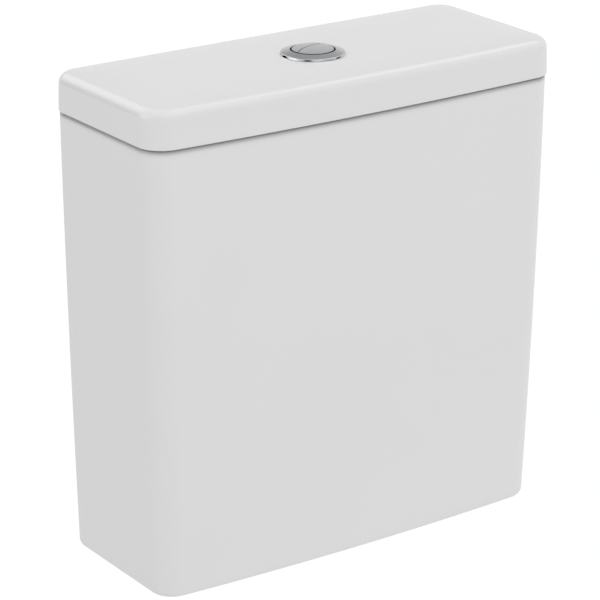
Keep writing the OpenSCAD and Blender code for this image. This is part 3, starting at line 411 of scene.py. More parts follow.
@dataclass(frozen=True)
class Foam(Finish):
    """Closed-cell foam: dark, dry, with open cells where it was cut, and painted shade at the bottom of each
    cell's pit.
    """

    colour: Point = (0.060, 0.061, 0.063)
    # Colour of the painted shade at the bottom of the cell pits.
    pit_shade: Point = (0.020, 0.020, 0.021)
    cell_scale: float = 620.0
    pit_shade_band: Pair = (0.15, 0.55)
    cloud: Texture = Texture(90.0, 3.0)
    spread: Pair = (0.3, 0.7)
    rough: Pair = (0.84, 0.95)
    relief: Pair = (0.55, 0.0006)

    def sockets(self, graph: Graph) -> dict[str, Any]:
        """Sockets of the foam.

        Args:
            graph: The material's node tree.

        Returns:
            Values and links of the surface shader.
        """
        at = graph.coords()
        cells = graph.node("ShaderNodeTexVoronoi", {"feature": "F1"},
                           {"Vector": at, "Scale": self.cell_scale})
        cloud = self.cloud.value(graph, at)
        # Painted shade: darker towards the bottom of each cell's pit.
        pit_shade_band = graph.band(cells, *self.pit_shade_band, 1.0, 0.0)
        return {"Base Color": graph.blend(rgba(self.colour), rgba(self.pit_shade), pit_shade_band * cloud),
                "Roughness": graph.band(cloud, *self.spread, *self.rough),
                "Normal": graph.bump(cells, *self.relief)}


GLAZE = Glaze("white_glaze", Slot.GLAZE)
CHROME = Chrome("bright_chrome", Slot.CHROME)
BUTTON_CHROME = Chrome("button_chrome", Slot.CHROME, gap_shade_inner=0.0156, gap_shade_top=0.3839)
WHITE = Clouded("white_moulding", Slot.WHITE)
GREY = Clouded("grey_moulding", Slot.GREY, (0.34, 0.38, 0.42), rough=(0.32, 0.46))
BLUE = Clouded("blue_moulding", Slot.BLUE, (0.065, 0.195, 0.42), rough=(0.30, 0.44))
RUBBER = Clouded("black_rubber_skin", Slot.RUBBER, (0.022, 0.022, 0.024), (0.075, 0.075, 0.078),
                 mix=(0.45, 0.8, 1.0), cloud=Texture(70.0, 4.0, 0.6), flow_share=0.0, spread=(0.3, 0.7),
                 rough=(0.62, 0.8), grain=Texture(1700.0, 3.0), relief=(0.25, 0.0003), ior=None)
SILICONE = replace(RUBBER, name="grey_silicone", slot=Slot.SILICONE, colour=(0.30, 0.32, 0.33),
                   second=(0.40, 0.42, 0.43))
FOAM = Foam("closed_cell_foam", Slot.FOAM)
STEEL = Clouded("zinc_plate", Slot.STEEL, (0.56, 0.55, 0.52), (0.60, 0.56, 0.44), mix=(0.4, 0.75, 0.8),
                cloud=Texture(150.0, 4.0, 0.6), flow_share=0.0, spread=(0.3, 0.7), rough=(0.26, 0.40),
                grain=Texture(1.0, 2.0, 0.5, (4000.0, 4000.0, 300.0)), relief=(0.08, 0.0002), metal=1.0,
                ior=None)


def arc(centre: Pair, r: float, start: float, end: float, steps: int) -> Profile:
    """Points along an arc.

    Args:
        centre: Middle of the arc.
        r: Radius.
        start: First angle in degrees.
        end: Last angle in degrees.
        steps: Number of steps.

    Returns:
        The points, both ends among them.
    """
    angles = [math.radians(start + (end - start) * i / steps) for i in range(steps + 1)]
    return [(centre[0] + r * math.cos(a), centre[1] + r * math.sin(a)) for a in angles]


def rounding(r: float, steps: int = 8) -> Profile:
    """Steps of a quarter round: how far each point lies short of its cosine side and of its sine side."""
    angles = [math.radians(90.0 * i / steps) for i in range(steps + 1)]
    return [(r * (1 - math.cos(a)), r * (1 - math.sin(a))) for a in angles]


def turns(steps: int) -> list[float]:
    """Angles of equal steps round a circle."""
    return [math.tau * k / steps for k in range(steps)]


def shifted(points: Iterable[Pair], r: float, z: float) -> Profile:
    """Points of a profile, moved outwards and up."""
    return [(r + dr, z + dz) for dr, dz in points]


def smooth(mesh: bpy.types.Mesh, sharp: float) -> bpy.types.Mesh:
    """Shade a mesh smooth but for edges that turn by more degrees.

    Args:
        mesh: The mesh.
        sharp: Angle in degrees above which an edge stays sharp.

    Returns:
        The same mesh.
    """
    mesh.shade_smooth()
    mesh.set_sharp_from_angle(angle=math.radians(sharp))
    return mesh


def solid(name: str, verts: Sequence[Sequence[float]], faces: Iterable[Sequence[int]],
          sharp: float = SHARP) -> bpy.types.Mesh:
    """Make a closed mesh from points in millimetres.

    Args:
        name: Name of the mesh.
        verts: Points in millimetres.
        faces: Corners of each face.
        sharp: Angle in degrees above which an edge stays sharp.

    Returns:
        The mesh in metres, smooth, with its normals outwards.
    """
    mesh = bpy.data.meshes.new(name)
    mesh.from_pydata([[c * MM for c in v] for v in verts], [], [list(f) for f in faces])
    work = bmesh.new()
    work.from_mesh(mesh)
    bmesh.ops.remove_doubles(work, verts=work.verts, dist=MERGE)
    bmesh.ops.recalc_face_normals(work, faces=work.faces)
    work.to_mesh(mesh)
    work.free()
    return smooth(mesh, sharp)


def skin(levels: Sequence[Sequence[Point]], first: int = 0) -> tuple[list[Point], list[Sequence[int]]]:
    """Close a skin through levels of equally many points.

    Args:
        levels: Rings of points, in order.
        first: Number of the first point.

    Returns:
        The points, and the faces with a cap on the first and the last level.
    """
    n = len(levels[0])
    last = first + (len(levels) - 1) * n
    faces: list[Sequence[int]] = [range(first, first + n), range(last, last + n)]
    for start in range(first, last, n):
        for i in range(n):
            j = (i + 1) % n
            faces.append((start + i, start + j, start + n + j, start + n + i))
    return [p for level in levels for p in level], faces


def revolve(name: str, profile: Profile, steps: int, sharp: float = SHARP) -> bpy.types.Mesh:
    """Turn a closed profile round the upright axis.

    Args:
        name: Name of the mesh.
        profile: Radius and height of each point, in millimetres.
        steps: Number of steps round the axis.
        sharp: Angle in degrees above which an edge stays sharp.

    Returns:
        The mesh of the body that the profile sweeps.
    """
    m = len(profile)
    verts = [(r * math.cos(a), r * math.sin(a), z) for a in turns(steps) for r, z in profile]
    faces = [(k * m + i, (k + 1) % steps * m + i, (k + 1) % steps * m + (i + 1) % m, k * m + (i + 1) % m)
             for k in range(steps) for i in range(m)]
    return solid(name, verts, faces, sharp)


def drum(name: str, r: float, low: Point, high: Point, steps: int = 64) -> bpy.types.Mesh:
    """Make a closed cylinder between two points.

    Args:
        name: Name of the mesh.
        r: Radius in millimetres.
        low: Middle of one end.
        high: Middle of the other end.
        steps: Number of sides.

    Returns:
        The mesh.
    """
    way = (Vector(high) - Vector(low)).normalized()
    side = way.orthogonal().normalized()
    turn = way.cross(side)
    ring = [side * math.cos(a) + turn * math.sin(a) for a in turns(steps)]
    return solid(name, *skin([[tuple(Vector(end) + r * d) for d in ring] for end in (low, high)]))


def block(name: str, low: Point, high: Point, ease: float) -> bpy.types.Mesh:
    """Make a box with rounded edges.

    Args:
        name: Name of the mesh.
        low: Lowest corner in millimetres.
        high: Highest corner in millimetres.
        ease: Rounding of the edges.

    Returns:
        The mesh.
    """
    mesh = bpy.data.meshes.new(name)
    work = bmesh.new()
    size = Vector(high) - Vector(low)
    middle = Matrix.Translation((Vector(high) + Vector(low)) * 0.5 * MM)
    bmesh.ops.create_cube(work, size=1.0, matrix=middle @ Matrix.Diagonal((*(size * MM), 1.0)))
    bmesh.ops.bevel(work, geom=work.edges[:], offset=ease * MM, segments=BEVEL_STEPS, affect="EDGES",
                    profile=BEVEL_SHAPE)
    bmesh.ops.recalc_face_normals(work, faces=work.faces)
    work.to_mesh(mesh)
    work.free()
    return smooth(mesh, BLOCK_SHARP)


def placed(name: str, data: bpy.types.ID) -> bpy.types.Object:
    """Make an object of some data and link it to the scene.

    Args:
        name: Name of the object.
        data: Its mesh, light or camera.

    Returns:
        The object.
    """
    made = bpy.data.objects.new(name, data)
    bpy.context.scene.collection.objects.link(made)
    return made


def evaluated(holder: bpy.types.Object, name: str) -> bpy.types.Mesh:
    """Copy the mesh of an object with its modifiers.

    Args:
        holder: The object.
        name: Name of the new mesh.

    Returns:
        The new mesh.
    """
    made = bpy.data.meshes.new_from_object(holder.evaluated_get(bpy.context.evaluated_depsgraph_get()))
    made.name = name
    return made


def carve(mesh: bpy.types.Mesh, steps: Iterable[tuple[Cut, bpy.types.Mesh]]) -> bpy.types.Mesh:
    """Cut other closed meshes from a mesh, or join them to it.

    Args:
        mesh: The mesh to change.
        steps: What happens with each other mesh, in order.

    Returns:
        A new mesh.
    """
    holder = placed("carve_work", mesh)
    tools = []
    for how, tool in steps:
        tools.append(placed("carve_tool", tool))
        change = holder.modifiers.new("carve", "BOOLEAN")
        change.operation, change.solver, change.object = how.value, "EXACT", tools[-1]
    made = evaluated(holder, mesh.name)
    for used in (holder, *tools):
        bpy.data.objects.remove(used)
    return smooth(made, SHARP)


def add_piece(name: str, mesh: bpy.types.Mesh, finish: Finish, body: Body,
              stands_for: Sequence[str] = ()) -> bpy.types.Object:
    """Put a finished mesh on a body.

    Args:
        name: Name of the piece.
        mesh: Its mesh, already in place.
        finish: Its finish.
        body: The body that it moves with.
        stands_for: CAD nodes that it replaces.

    Returns:
        The piece.
    """
    mesh.name = name
    mesh.materials.clear()
    mesh.materials.append(finish.material())
    piece = placed(name, mesh)
    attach(piece, body.value)
    if stands_for:
        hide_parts(*stands_for)
    log.info("%s on %s: %d faces", name, body.value, len(mesh.polygons))
    return piece


def dress(finish: Finish, *nodes: str) -> None:
    """Give CAD nodes a finish.

    Args:
        finish: The finish.
        nodes: Names of the nodes.
    """
    for name in nodes:
        for place in frame["nodes"][name].material_slots:
            place.material = finish.material()
        log.info("%s dressed in %s", name, finish.name)


class Maker:
    """A Geometry Nodes tree with named inputs that ends in Realize Instances and Set Material."""

    def __init__(self, name: str, floats: Sequence[str], points: Sequence[str],
                 counts: Sequence[str] = ()) -> None:
        """Start a tree.

        Args:
            name: Name of the tree.
            floats: Names of its measures.
            points: Names of its places and steps.
            counts: Names of its counts.
        """
        self.tree = bpy.data.node_groups.new(name, "GeometryNodeTree")
        self.graph = Graph(self.tree)
        kinds = {"Float": floats, "Vector": points, "Int": counts, "Material": ("Finish",)}
        for kind, keys in kinds.items():
            for key in keys:
                self.tree.interface.new_socket(key, in_out="INPUT", socket_type="NodeSocket" + kind)
        self.tree.interface.new_socket("Geometry", in_out="OUTPUT", socket_type="NodeSocketGeometry")

    def __getitem__(self, key: str) -> Sock:
        """A named input of the tree."""
        return self.graph.node("NodeGroupInput", out=key)

    def spiral(self, steps: int, height: Sock | float) -> Sock:
        """Helix of the inputs Radius and Turns."""
        return self.graph.node("GeometryNodeCurveSpiral", {}, {
            "Resolution": steps, "Rotations": self["Turns"], "Start Radius": self["Radius"],
            "End Radius": self["Radius"], "Height": height})

    def tube(self, curve: Sock, r: Sock, sides: int) -> Sock:
        """Round bar along a curve."""
        ring = self.graph.node("GeometryNodeCurvePrimitiveCircle", {}, {"Resolution": sides, "Radius": r})
        return self.graph.node("GeometryNodeCurveToMesh", {}, {
            "Curve": curve, "Profile Curve": ring, "Fill Caps": True})

    def copies(self, points: Sock, shape: Sock) -> Sock:
        """A copy of a shape on each point."""
        return self.graph.node("GeometryNodeInstanceOnPoints", {}, {"Points": points, "Instance": shape})

    def moved(self, shape: Sock) -> Sock:
        """A shape moved to the input Place."""
        return self.graph.node("GeometryNodeTransform", {}, {"Geometry": shape, "Translation": self["Place"]})

    def end(self, shape: Sock) -> "Maker":
        """Close the tree with the shape that it makes.

        Args:
            shape: The shape.

        Returns:
            The maker.
        """
        soft = self.graph.node("GeometryNodeSetShadeSmooth", {}, {"Geometry": shape})
        plain = self.graph.node("GeometryNodeRealizeInstances", {}, {"Geometry": soft})
        done = self.graph.node("GeometryNodeSetMaterial", {}, {"Geometry": plain, "Material": self["Finish"]})
        self.graph.node("NodeGroupOutput", {}, {0: done})
        return self

    def piece(self, name: str, finish: Finish, body: Body, stands_for: Sequence[str] = (),
              **values: Any) -> bpy.types.Object:
        """Run the tree once and put the plain mesh that it makes on a body.

        Args:
            name: Name of the piece.
            finish: Its finish.
            body: The body that it moves with.
            stands_for: CAD nodes that it replaces.
            values: Values of the named inputs.

        Returns:
            The piece.
        """
        holder = placed(name + "_maker", bpy.data.meshes.new(name + "_seed"))
        change = holder.modifiers.new("maker", "NODES")
        change.node_group = self.tree
        wanted = {**values, "Finish": finish.material()}
        for item in self.tree.interface.items_tree:
            if item.item_type == "SOCKET" and item.in_out == "INPUT":
                change[item.identifier] = wanted[item.name]
        made = evaluated(holder, name)
        bpy.data.objects.remove(holder)
        return add_piece(name, made, finish, body, stands_for)


def coil_maker() -> Maker:
    """Tree of a compression spring whose end turns lie close.

    Returns:
        The maker, with inputs Radius, Height, Turns, Wire and Place, in metres.
    """
    steps, sides, closeness = 40, 12, 0.8
    maker = Maker("return_coil", ("Radius", "Height", "Turns", "Wire"), ("Place",))
    graph = maker.graph
    share = graph.node("GeometryNodeSplineParameter", out="Factor")
    wave = graph.node("ShaderNodeMath", {"operation": "SINE"}, {0: share * math.tau})
    rise = maker["Height"] * (share - wave * (closeness / math.tau)) - share
    lifted = graph.node("GeometryNodeSetPosition", {}, {
        "Geometry": maker.spiral(steps, 1.0), "Offset": graph.node("ShaderNodeCombineXYZ", {}, {"Z": rise})})
    return maker.end(maker.moved(maker.tube(lifted, maker["Wire"], sides)))


def thread_maker() -> Maker:
    """Tree of screw threads: one helical ridge, copied along a row.

    Returns:
        The maker, with inputs Radius, Length, Turns, Ridge, First, Step and Count, in metres.
    """
    steps, sides = 48, 6
    maker = Maker("screw_thread", ("Radius", "Length", "Turns", "Ridge"), ("First", "Step"), ("Count",))
    row = maker.graph.node("GeometryNodeMeshLine", {}, {
        "Count": maker["Count"], "Start Location": maker["First"], "Offset": maker["Step"]})
    ridge = maker.tube(maker.spiral(steps, maker["Length"]), maker["Ridge"], sides)
    return maker.end(maker.copies(row, ridge))


def rib_maker() -> Maker:
    """Tree of grip ribs: round bars set upright round a barrel.

    Returns:
        The maker, with inputs Radius, Count, Thickness, Length and Place, in metres.
    """
    sides = 10
    maker = Maker("grip_ribs", ("Radius", "Thickness", "Length"), ("Place",), ("Count",))
    ring = maker.graph.node("GeometryNodeMeshCircle", {"fill_type": "NONE"}, {
        "Vertices": maker["Count"], "Radius": maker["Radius"]})
    bar = maker.graph.node("GeometryNodeMeshCylinder", {"fill_type": "NGON"}, {
        "Vertices": sides, "Side Segments": 1, "Radius": maker["Thickness"], "Depth": maker["Length"]})
    return maker.end(maker.moved(maker.copies(ring, bar)))


def gauze_maker() -> Maker:
    """Tree of a round wire gauze.

    Returns:
        The maker, with inputs Radius, Wires, Wire and Place, in metres.
    """
    sides = 5
    maker = Maker("wire_gauze", ("Radius", "Wire"), ("Place",), ("Wires",))
    graph = maker.graph
    span = maker["Radius"] * 2.0
    grid = graph.node("GeometryNodeMeshGrid", {}, {
        "Size X": span, "Size Y": span, "Vertices X": maker["Wires"], "Vertices Y": maker["Wires"]})
    reach = graph.vector("LENGTH", graph.node("GeometryNodeInputPosition"))
    kept = graph.node("GeometryNodeDeleteGeometry", {"domain": "POINT"}, {
        "Geometry": grid, "Selection": reach > maker["Radius"]})
    lines = graph.node("GeometryNodeMeshToCurve", {}, {"Mesh": kept})
    return maker.end(maker.moved(maker.tube(lines, maker["Wire"], sides)))


@dataclass(frozen=True)
class Thread:
    """A screw thread on an upright stem, or a row of equal ones."""

    r: float
    first: Point
    length: float
    pitch: float
    ridge: float
    step: float = 0.0
    count: int = 1

    def build(self, name: str, maker: Maker, finish: Finish, body: Body) -> None:
        """Make the thread as one piece.

        Args:
            name: Name of the piece.
            maker: Tree of a screw thread.
            finish: Its finish.
            body: The body that it moves with.
        """
        maker.piece(name, finish, body, Radius=self.r * MM, Length=self.length * MM,
                    Turns=self.length / self.pitch, Ridge=self.ridge * MM,
                    First=tuple(c * MM for c in self.first), Step=(self.step * MM, 0.0, 0.0),
                    Count=self.count)


@dataclass
class Plan:
    """Outline with rounded corners and a bowed front, at one height."""

    half_w: float
    front_y: float
    rear_y: float
    front_r: float
    rear_r: float
    bow: float
    corner_steps: int = 14
    bow_steps: int = 28
    least_r: float = 3.0

    def ring(self, e: float, z: float) -> list[Point]:
        """Points of the outline, drawn in by e.

        Args:
            e: How far it is drawn in.
            z: Its height.

        Returns:
            The points in order.
        """
        reach = self.half_w - self.front_r
        bow_r = (reach * reach + self.bow * self.bow) / (2 * self.bow)
        r = bow_r - e
        f = max(self.front_r - e, self.least_r)
        b = max(self.rear_r - e, self.least_r)
        fx, bx, by = self.half_w - e - f, self.half_w - e - b, self.rear_y - e - b
        turn = math.asin(fx / (r - f))
        fy = self.front_y + bow_r - (r - f) * math.cos(turn)
        deg = math.degrees(turn)
        flat: Profile = []
        for centre, corner_r, start, end in (((fx, fy), f, deg - 90, 0), ((bx, by), b, 0, 90),
                                             ((-bx, by), b, 90, 180), ((-fx, fy), f, 180, 270 - deg)):
            flat += arc(centre, corner_r, start, end, self.corner_steps)
        for i in range(1, self.bow_steps):
            a = turn * (2 * i / self.bow_steps - 1)
            flat.append((r * math.sin(a), self.front_y + bow_r - r * math.cos(a)))
        return [(x, y, z) for x, y in flat]


@dataclass
class CisternTank:
    """Glazed tank: tapering shell with a rounded foot, hollow above its floor and below it."""

    rim_w: float = 360.0
    side_taper: float = 6.5
    rim_d: float = 145.0
    front_taper: float = 6.5
    height: float = 348.5
    back_y: float = 76.0
    side_belly: float = 0.9
    front_belly: float = 0.9
    front_bow: float = 4.5
    front_corner_r: float = 19.0
    back_corner_r: float = 17.0
    foot_r: float = 5.7
    rim_r: float = 2.0
    inner_rim_r: float = 2.0
    wall: float = 9.0
    floor_z: float = 25.0
    floor_fillet: float = 10.0
    skirt_h: float = 14.0
    skirt: float = 13.0
    skirt_ease: float = 1.5
    skirt_lip: float = 1.0
    outlet_r: float = 32.0
    bolt_hole_r: float = 5.5
    bolt_x: float = 80.0
    inlet_hole_r: float = 12.2
    inlet_at: Pair = (122.0, 18.0)
    wall_hole_r: float = 4.0
    wall_hole_x: float = 100.0
    wall_hole_z: float = 315.0
    spare: float = 2.0
    outlet_steps: int = 96
    hole_steps: int = 48
    pad_r: float = 2.5
    pad_inset: float = 40.0
    pad_profile: tuple[Pair, ...] = ((-0.5, 0.0), (0.0, 0.25), (0.0, 0.5), (-0.35, 0.72), (-1.25, 0.8))
    pad_steps: int = 32
    pad_sharp: float = 50.0
    outer_steps: int = 20
    inner_steps: int = 10
    turn_steps: int = 4

    def level(self, z: float, e: float) -> list[Point]:
        """Outline of the tank at a height.

        Args:
            z: The height.
            e: How far the outline is drawn in.

        Returns:
            The points in order.
        """
        s = z / self.height
        half = self.rim_w / 2 - self.side_taper * (1 - s) + self.side_belly * 4 * s * (1 - s)
        front = self.back_y - self.rim_d + self.front_taper * (1 - s) - self.front_belly * 4 * s * (1 - s)
        plan = Plan(half, front, self.back_y, self.front_corner_r, self.back_corner_r, self.front_bow)
        return plan.ring(e, z)

    def shell(self) -> bpy.types.Mesh:
        """Skin of the tank before its holes.

        Returns:
            A closed mesh from the underside, round the foot and the rim, to the floor.
        """
        top, wall, ease, lip = self.height, self.wall, self.skirt_ease, self.skirt_lip
        steps: Profile = [(self.skirt_h, self.skirt + ease), (self.skirt_h - ease, self.skirt),
                          (lip, self.skirt), (0.0, self.skirt - lip)]
        steps += rounding(self.foot_r)
        steps += [(top * s / self.outer_steps, 0.0) for s in range(1, self.outer_steps)]
        steps += [(top - b, a) for a, b in rounding(self.rim_r, self.turn_steps)]
        steps += [(top - a, wall - b) for a, b in rounding(self.inner_rim_r, self.turn_steps)]
        steps += [(top * s / self.inner_steps, wall) for s in range(self.inner_steps - 1, 1, -1)]
        steps += [(self.floor_z + b, wall + a) for a, b in rounding(self.floor_fillet, self.turn_steps)]
        return solid("tank_shell", *skin([self.level(z, e) for z, e in steps]))

    def build(self) -> None:
        """Make the tank with its holes, and the pads on its rim."""
        low, high = self.skirt_h - self.spare, self.floor_z + self.spare
        near, far = self.back_y - self.wall - self.spare, self.back_y + self.spare
        holes = [drum("outlet_hole", self.outlet_r, (0, 0, low), (0, 0, high), self.outlet_steps),
                 drum("inlet_hole", self.inlet_hole_r, (*self.inlet_at, low), (*self.inlet_at, high))]
        for side in (-1, 1):
            x = side * self.bolt_x
            holes.append(drum("bolt_hole", self.bolt_hole_r, (x, 0, low), (x, 0, high), self.hole_steps))
            x, z = side * self.wall_hole_x, self.wall_hole_z
            holes.append(drum("wall_hole", self.wall_hole_r, (x, far, z), (x, near, z), self.hole_steps))
        mesh = carve(self.shell(), [(Cut.AWAY, hole) for hole in holes])
        add_piece("tank_body", mesh, GLAZE, Body.TANK, ["cistern_tank"])
        self.pads()

    def pads(self) -> None:
        """Make the four soft pads on the rim."""
        verts: list[Point] = []
        faces: list[Sequence[int]] = []
        front = self.back_y - self.rim_d
        for side in (-1, 1):
            x = side * (self.rim_w - self.wall) / 2
            for y in (self.back_y - self.pad_inset, front + self.pad_inset):
                levels = [[(x + r * math.cos(a), y + r * math.sin(a), z) for a in turns(self.pad_steps)]
                          for r, z in shifted(self.pad_profile, self.pad_r, self.height)]
                more_verts, more_faces = skin(levels, len(verts))
                verts += more_verts
                faces += more_faces
        mesh = solid("rim_pads", verts, faces, self.pad_sharp)
        add_piece("rim_pads", mesh, SILICONE, Body.TANK, ["lid_pads"])


@dataclass
class CisternLid:
    """Glazed lid: crowned top, rounded edge, hollow underside, a hole and four locating tabs."""

    tank: CisternTank
    gap: float = 0.8
    overhang: float = 1.2
    back_overhang: float = 0.2
    edge_h: float = 28.8
    edge_r: float = 8.5
    edge_steps: int = 15
    lower_r: float = 0.9
    lip: float = 1.0
    hollow_step: float = 10.0
    draft: float = 0.5
    side_steps: int = 5
    crown: float = 1.0
    crown_run: float = 30.0
    crown_steps: int = 12
    top_t: float = 10.0
    wall: float = 10.5
    inner_r: float = 4.0
    inner_steps: int = 4
    hole_r: float = 19.0
    hole_steps: int = 96
    spare: float = 2.0
    tab_w: float = 40.0
    tab_t: float = 6.0
    tab_reach: float = 6.0
    tab_x: float = 105.0
    tab_gap: float = 2.0
    tab_ease: float = 1.2

    @property
    def low_z(self) -> float:
        """Height of the lid's lower edge."""
        return self.tank.height + self.gap

    @property
    def edge_z(self) -> float:
        """Height at which the rounded edge meets the crown."""
        return self.low_z + self.edge_h

    @property
    def top_z(self) -> float:
        """Height of the lid's top."""
        return self.edge_z + self.crown

    @property
    def under_z(self) -> float:
        """Height of the hollow's ceiling."""
        return self.top_z - self.top_t

    def level(self, z: float, e: float) -> list[Point]:
        """Outline of the lid at a height.

        Args:
            z: The height.
            e: How far the outline is drawn in.

        Returns:
            The points in order.
        """
        t, over = self.tank, self.overhang
        plan = Plan(t.rim_w / 2 + over, t.back_y - t.rim_d - over, t.back_y + self.back_overhang,
                    t.front_corner_r + over, t.back_corner_r + over, t.front_bow)
        return plan.ring(e, z)

    def shell(self) -> bpy.types.Mesh:
        """Skin of the lid before its hole and tabs.

        Returns:
            A closed mesh from the hollow's ceiling, round the lower edge, to the top.
        """
        low, edge, wall, lip = self.low_z, self.edge_z, self.wall, self.lip
        steps: Profile = [(self.under_z - a, wall + b) for a, b in rounding(self.inner_r, self.inner_steps)]
        steps += [(low + self.hollow_step, wall), (low + lip, wall), (low, wall - lip)]
        steps += [(low + a, b) for a, b in rounding(self.lower_r)]
        side_low, side_high = low + self.lower_r, edge - self.edge_r
        for s in (i / self.side_steps for i in range(1, self.side_steps)):
            steps.append((side_low + (side_high - side_low) * s, self.draft * s))
        steps += [(edge - b, self.draft + a) for a, b in rounding(self.edge_r, self.edge_steps)]
        for s in (i / self.crown_steps for i in range(1, self.crown_steps + 1)):
            steps.append((edge + self.crown * s * (2 - s), self.draft + self.edge_r + self.crown_run * s))
        return solid("lid_shell", *skin([self.level(z, e) for z, e in steps]))

    def tab(self, x: float, wall_y: float, side: int) -> bpy.types.Mesh:
        """One locating tab inside the tank's wall.

        Args:
            x: Middle of the tab.
            wall_y: Place of the tank's inner wall.
            side: 1 at the back, -1 at the front.

        Returns:
            The tab's mesh, sunk a little into the lid's ceiling.
        """
        face = wall_y - side * self.tab_gap
        low_y, high_y = sorted((face, face - side * self.tab_t))
        return block("tab", (x - self.tab_w / 2, low_y, self.tank.height - self.tab_reach),
                     (x + self.tab_w / 2, high_y, self.under_z + self.spare), self.tab_ease)

    def build(self) -> None:
        """Make the lid with its hole and tabs."""
        t = self.tank
        bow = t.front_bow * ((self.tab_x - self.tab_w / 2) / (t.rim_w / 2)) ** 2
        steps = []
        for x in (-self.tab_x, self.tab_x):
            steps.append((Cut.JOIN, self.tab(x, t.back_y - t.wall, 1)))
            steps.append((Cut.JOIN, self.tab(x, t.back_y - t.rim_d + t.wall + bow + self.tab_gap, -1)))
        low, high = self.under_z - self.spare, self.top_z + self.spare
        hole = drum("button_hole", self.hole_r, (0, 0, low), (0, 0, high), self.hole_steps)
        steps.append((Cut.AWAY, hole))
        add_piece("lid_body", carve(self.shell(), steps), GLAZE, Body.LID, ["cistern_lid"])


@dataclass
class PushButton:
    """Chrome bezel with its split button, carrier, locknut and return springs."""

    lid: CisternLid
    bezel_r: float = 24.4
    bezel_h: float = 3.6
    bezel_steps: int = 192
    bezel_sharp: float = 50.0
    side_h: float = 1.7
    lean: float = 0.5
    foot: float = 0.3
    edge: float = 0.3
    bend_steps: int = 6
    bore_r: float = 16.95
    lip: float = 0.4
    lip_start: float = 80.0
    lip_steps: int = 8
    sleeve_r: float = 18.4
    sleeve_len: float = 34.0
    carrier_t: float = 4.0
    button_r: float = 16.0
    button_t: float = 3.0
    button_proud: float = 0.5
    button_crown: float = 0.3
    button_edge: float = 0.6
    edge_sweep: float = 84.0
    edge_steps: int = 7
    button_wall_h: float = 12.0
    button_wall_t: float = 1.2
    button_steps: int = 144
    crown_steps: int = 10
    split_r: float = 40.0
    split_off: float = 6.1
    split_gap: float = 0.6
    split_dir: float = 112.0
    split_steps: int = 360
    spare: float = 1.0
    stem_r: float = 2.5
    stem_steps: int = 48
    stem_tail: float = 40.0
    spring_r: float = 3.3
    spring_slack: float = 0.15
    wire_r: float = 0.35
    turns: float = 8.0
    full_off: float = -7.0
    half_off: float = 10.6
    press: float = 8.0
    locknut_h: float = 8.0
    thread_pitch: float = 2.0
    thread_ridge: float = 0.42
    thread_low: float = 1.5
    thread_high: float = 1.0

    @property
    def face_z(self) -> float:
        """Height of the middle of the button's face."""
        return self.lid.top_z + self.bezel_h + self.button_proud

    @property
    def way(self) -> Vector:
        """Direction square to the split."""
        return Vector((math.cos(math.radians(self.split_dir)), math.sin(math.radians(self.split_dir))))

    def button(self, name: str, inside: bool, off: float) -> bpy.types.Mesh:
        """One part of the split button with its stem.

        Args:
            name: Name of the mesh.
            inside: Whether it lies inside the split's arc.
            off: Distance of its stem from the middle, square to the split.

        Returns:
            The mesh.
        """
        top, crown, edge = self.face_z, self.button_crown, self.button_edge
        face_r, wall_r = self.button_r - edge, self.button_r - self.button_wall_t
        profile: Profile = [(0.0, -self.button_t), (wall_r, -self.button_t), (wall_r, -self.button_wall_h),
                            (self.button_r, -self.button_wall_h)]
        profile += arc((face_r, -crown - edge), edge, 0, self.edge_sweep, self.edge_steps)
        for s in (1 - i / self.crown_steps for i in range(self.crown_steps + 1)):
            profile.append((face_r * s, -crown * s * s))
        blank = revolve(name, shifted(profile, 0.0, top), self.button_steps)
        middle = self.way * (self.split_off - self.split_r)
        share = self.split_gap / 2
        low = top - self.button_wall_h - self.spare
        cutter = drum("split", self.split_r - share if inside else self.split_r + share,
                      (middle.x, middle.y, low), (middle.x, middle.y, top + self.spare), self.split_steps)
        at = self.way * off
        stem = drum("stem", self.stem_r, (at.x, at.y, top - self.button_t - self.stem_tail),
                    (at.x, at.y, top - self.button_t / 2), self.stem_steps)
        return carve(blank, [(Cut.KEEP if inside else Cut.AWAY, cutter), (Cut.JOIN, stem)])

    def bezel(self) -> bpy.types.Mesh:
        """Sloped flange on the lid with its sleeve.

        Returns:
            The turned mesh.
        """
        base = Vector((self.bezel_r, self.foot))
        corner = Vector((self.bezel_r - self.lean, self.side_h))
        crest = Vector((self.bore_r + self.lip, self.bezel_h))
        low, high = (corner + self.edge * (end - corner).normalized() for end in (base, crest))
        profile: Profile = [(self.bore_r, -self.sleeve_len), (self.sleeve_r, -self.sleeve_len),
                            (self.sleeve_r, 0.0), (self.bezel_r - self.foot, 0.0), (base.x, base.y)]
        for t in (i / self.bend_steps for i in range(self.bend_steps + 1)):
            bend = (1 - t) ** 2 * low + 2 * t * (1 - t) * corner + t * t * high
            profile.append((bend.x, bend.y))
        profile += arc((crest.x, crest.y - self.lip), self.lip, self.lip_start, 180, self.lip_steps)
        return revolve("bezel", shifted(profile, 0.0, self.lid.top_z), self.bezel_steps, self.bezel_sharp)

    def springs(self, maker: Maker) -> None:
        """Make both return springs.

        Args:
            maker: Tree of a coil.
        """
        low = self.lid.top_z - self.sleeve_len + self.carrier_t
        high = self.face_z - self.button_t
        inset = self.wire_r + self.spring_slack
        for name, off in (("full", self.full_off), ("half", self.half_off)):
            at = self.way * off
            piece = maker.piece(name + "_return_spring", STEEL, Body.LID, [name + "_flush_spring"],
                                Radius=self.spring_r * MM, Turns=self.turns, Wire=self.wire_r * MM,
                                Height=(high - low - 2 * inset) * MM,
                                Place=(at.x * MM, at.y * MM, (low + inset) * MM))
            low * MM
            (high - low - self.press) / (high - low)
            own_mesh(piece)

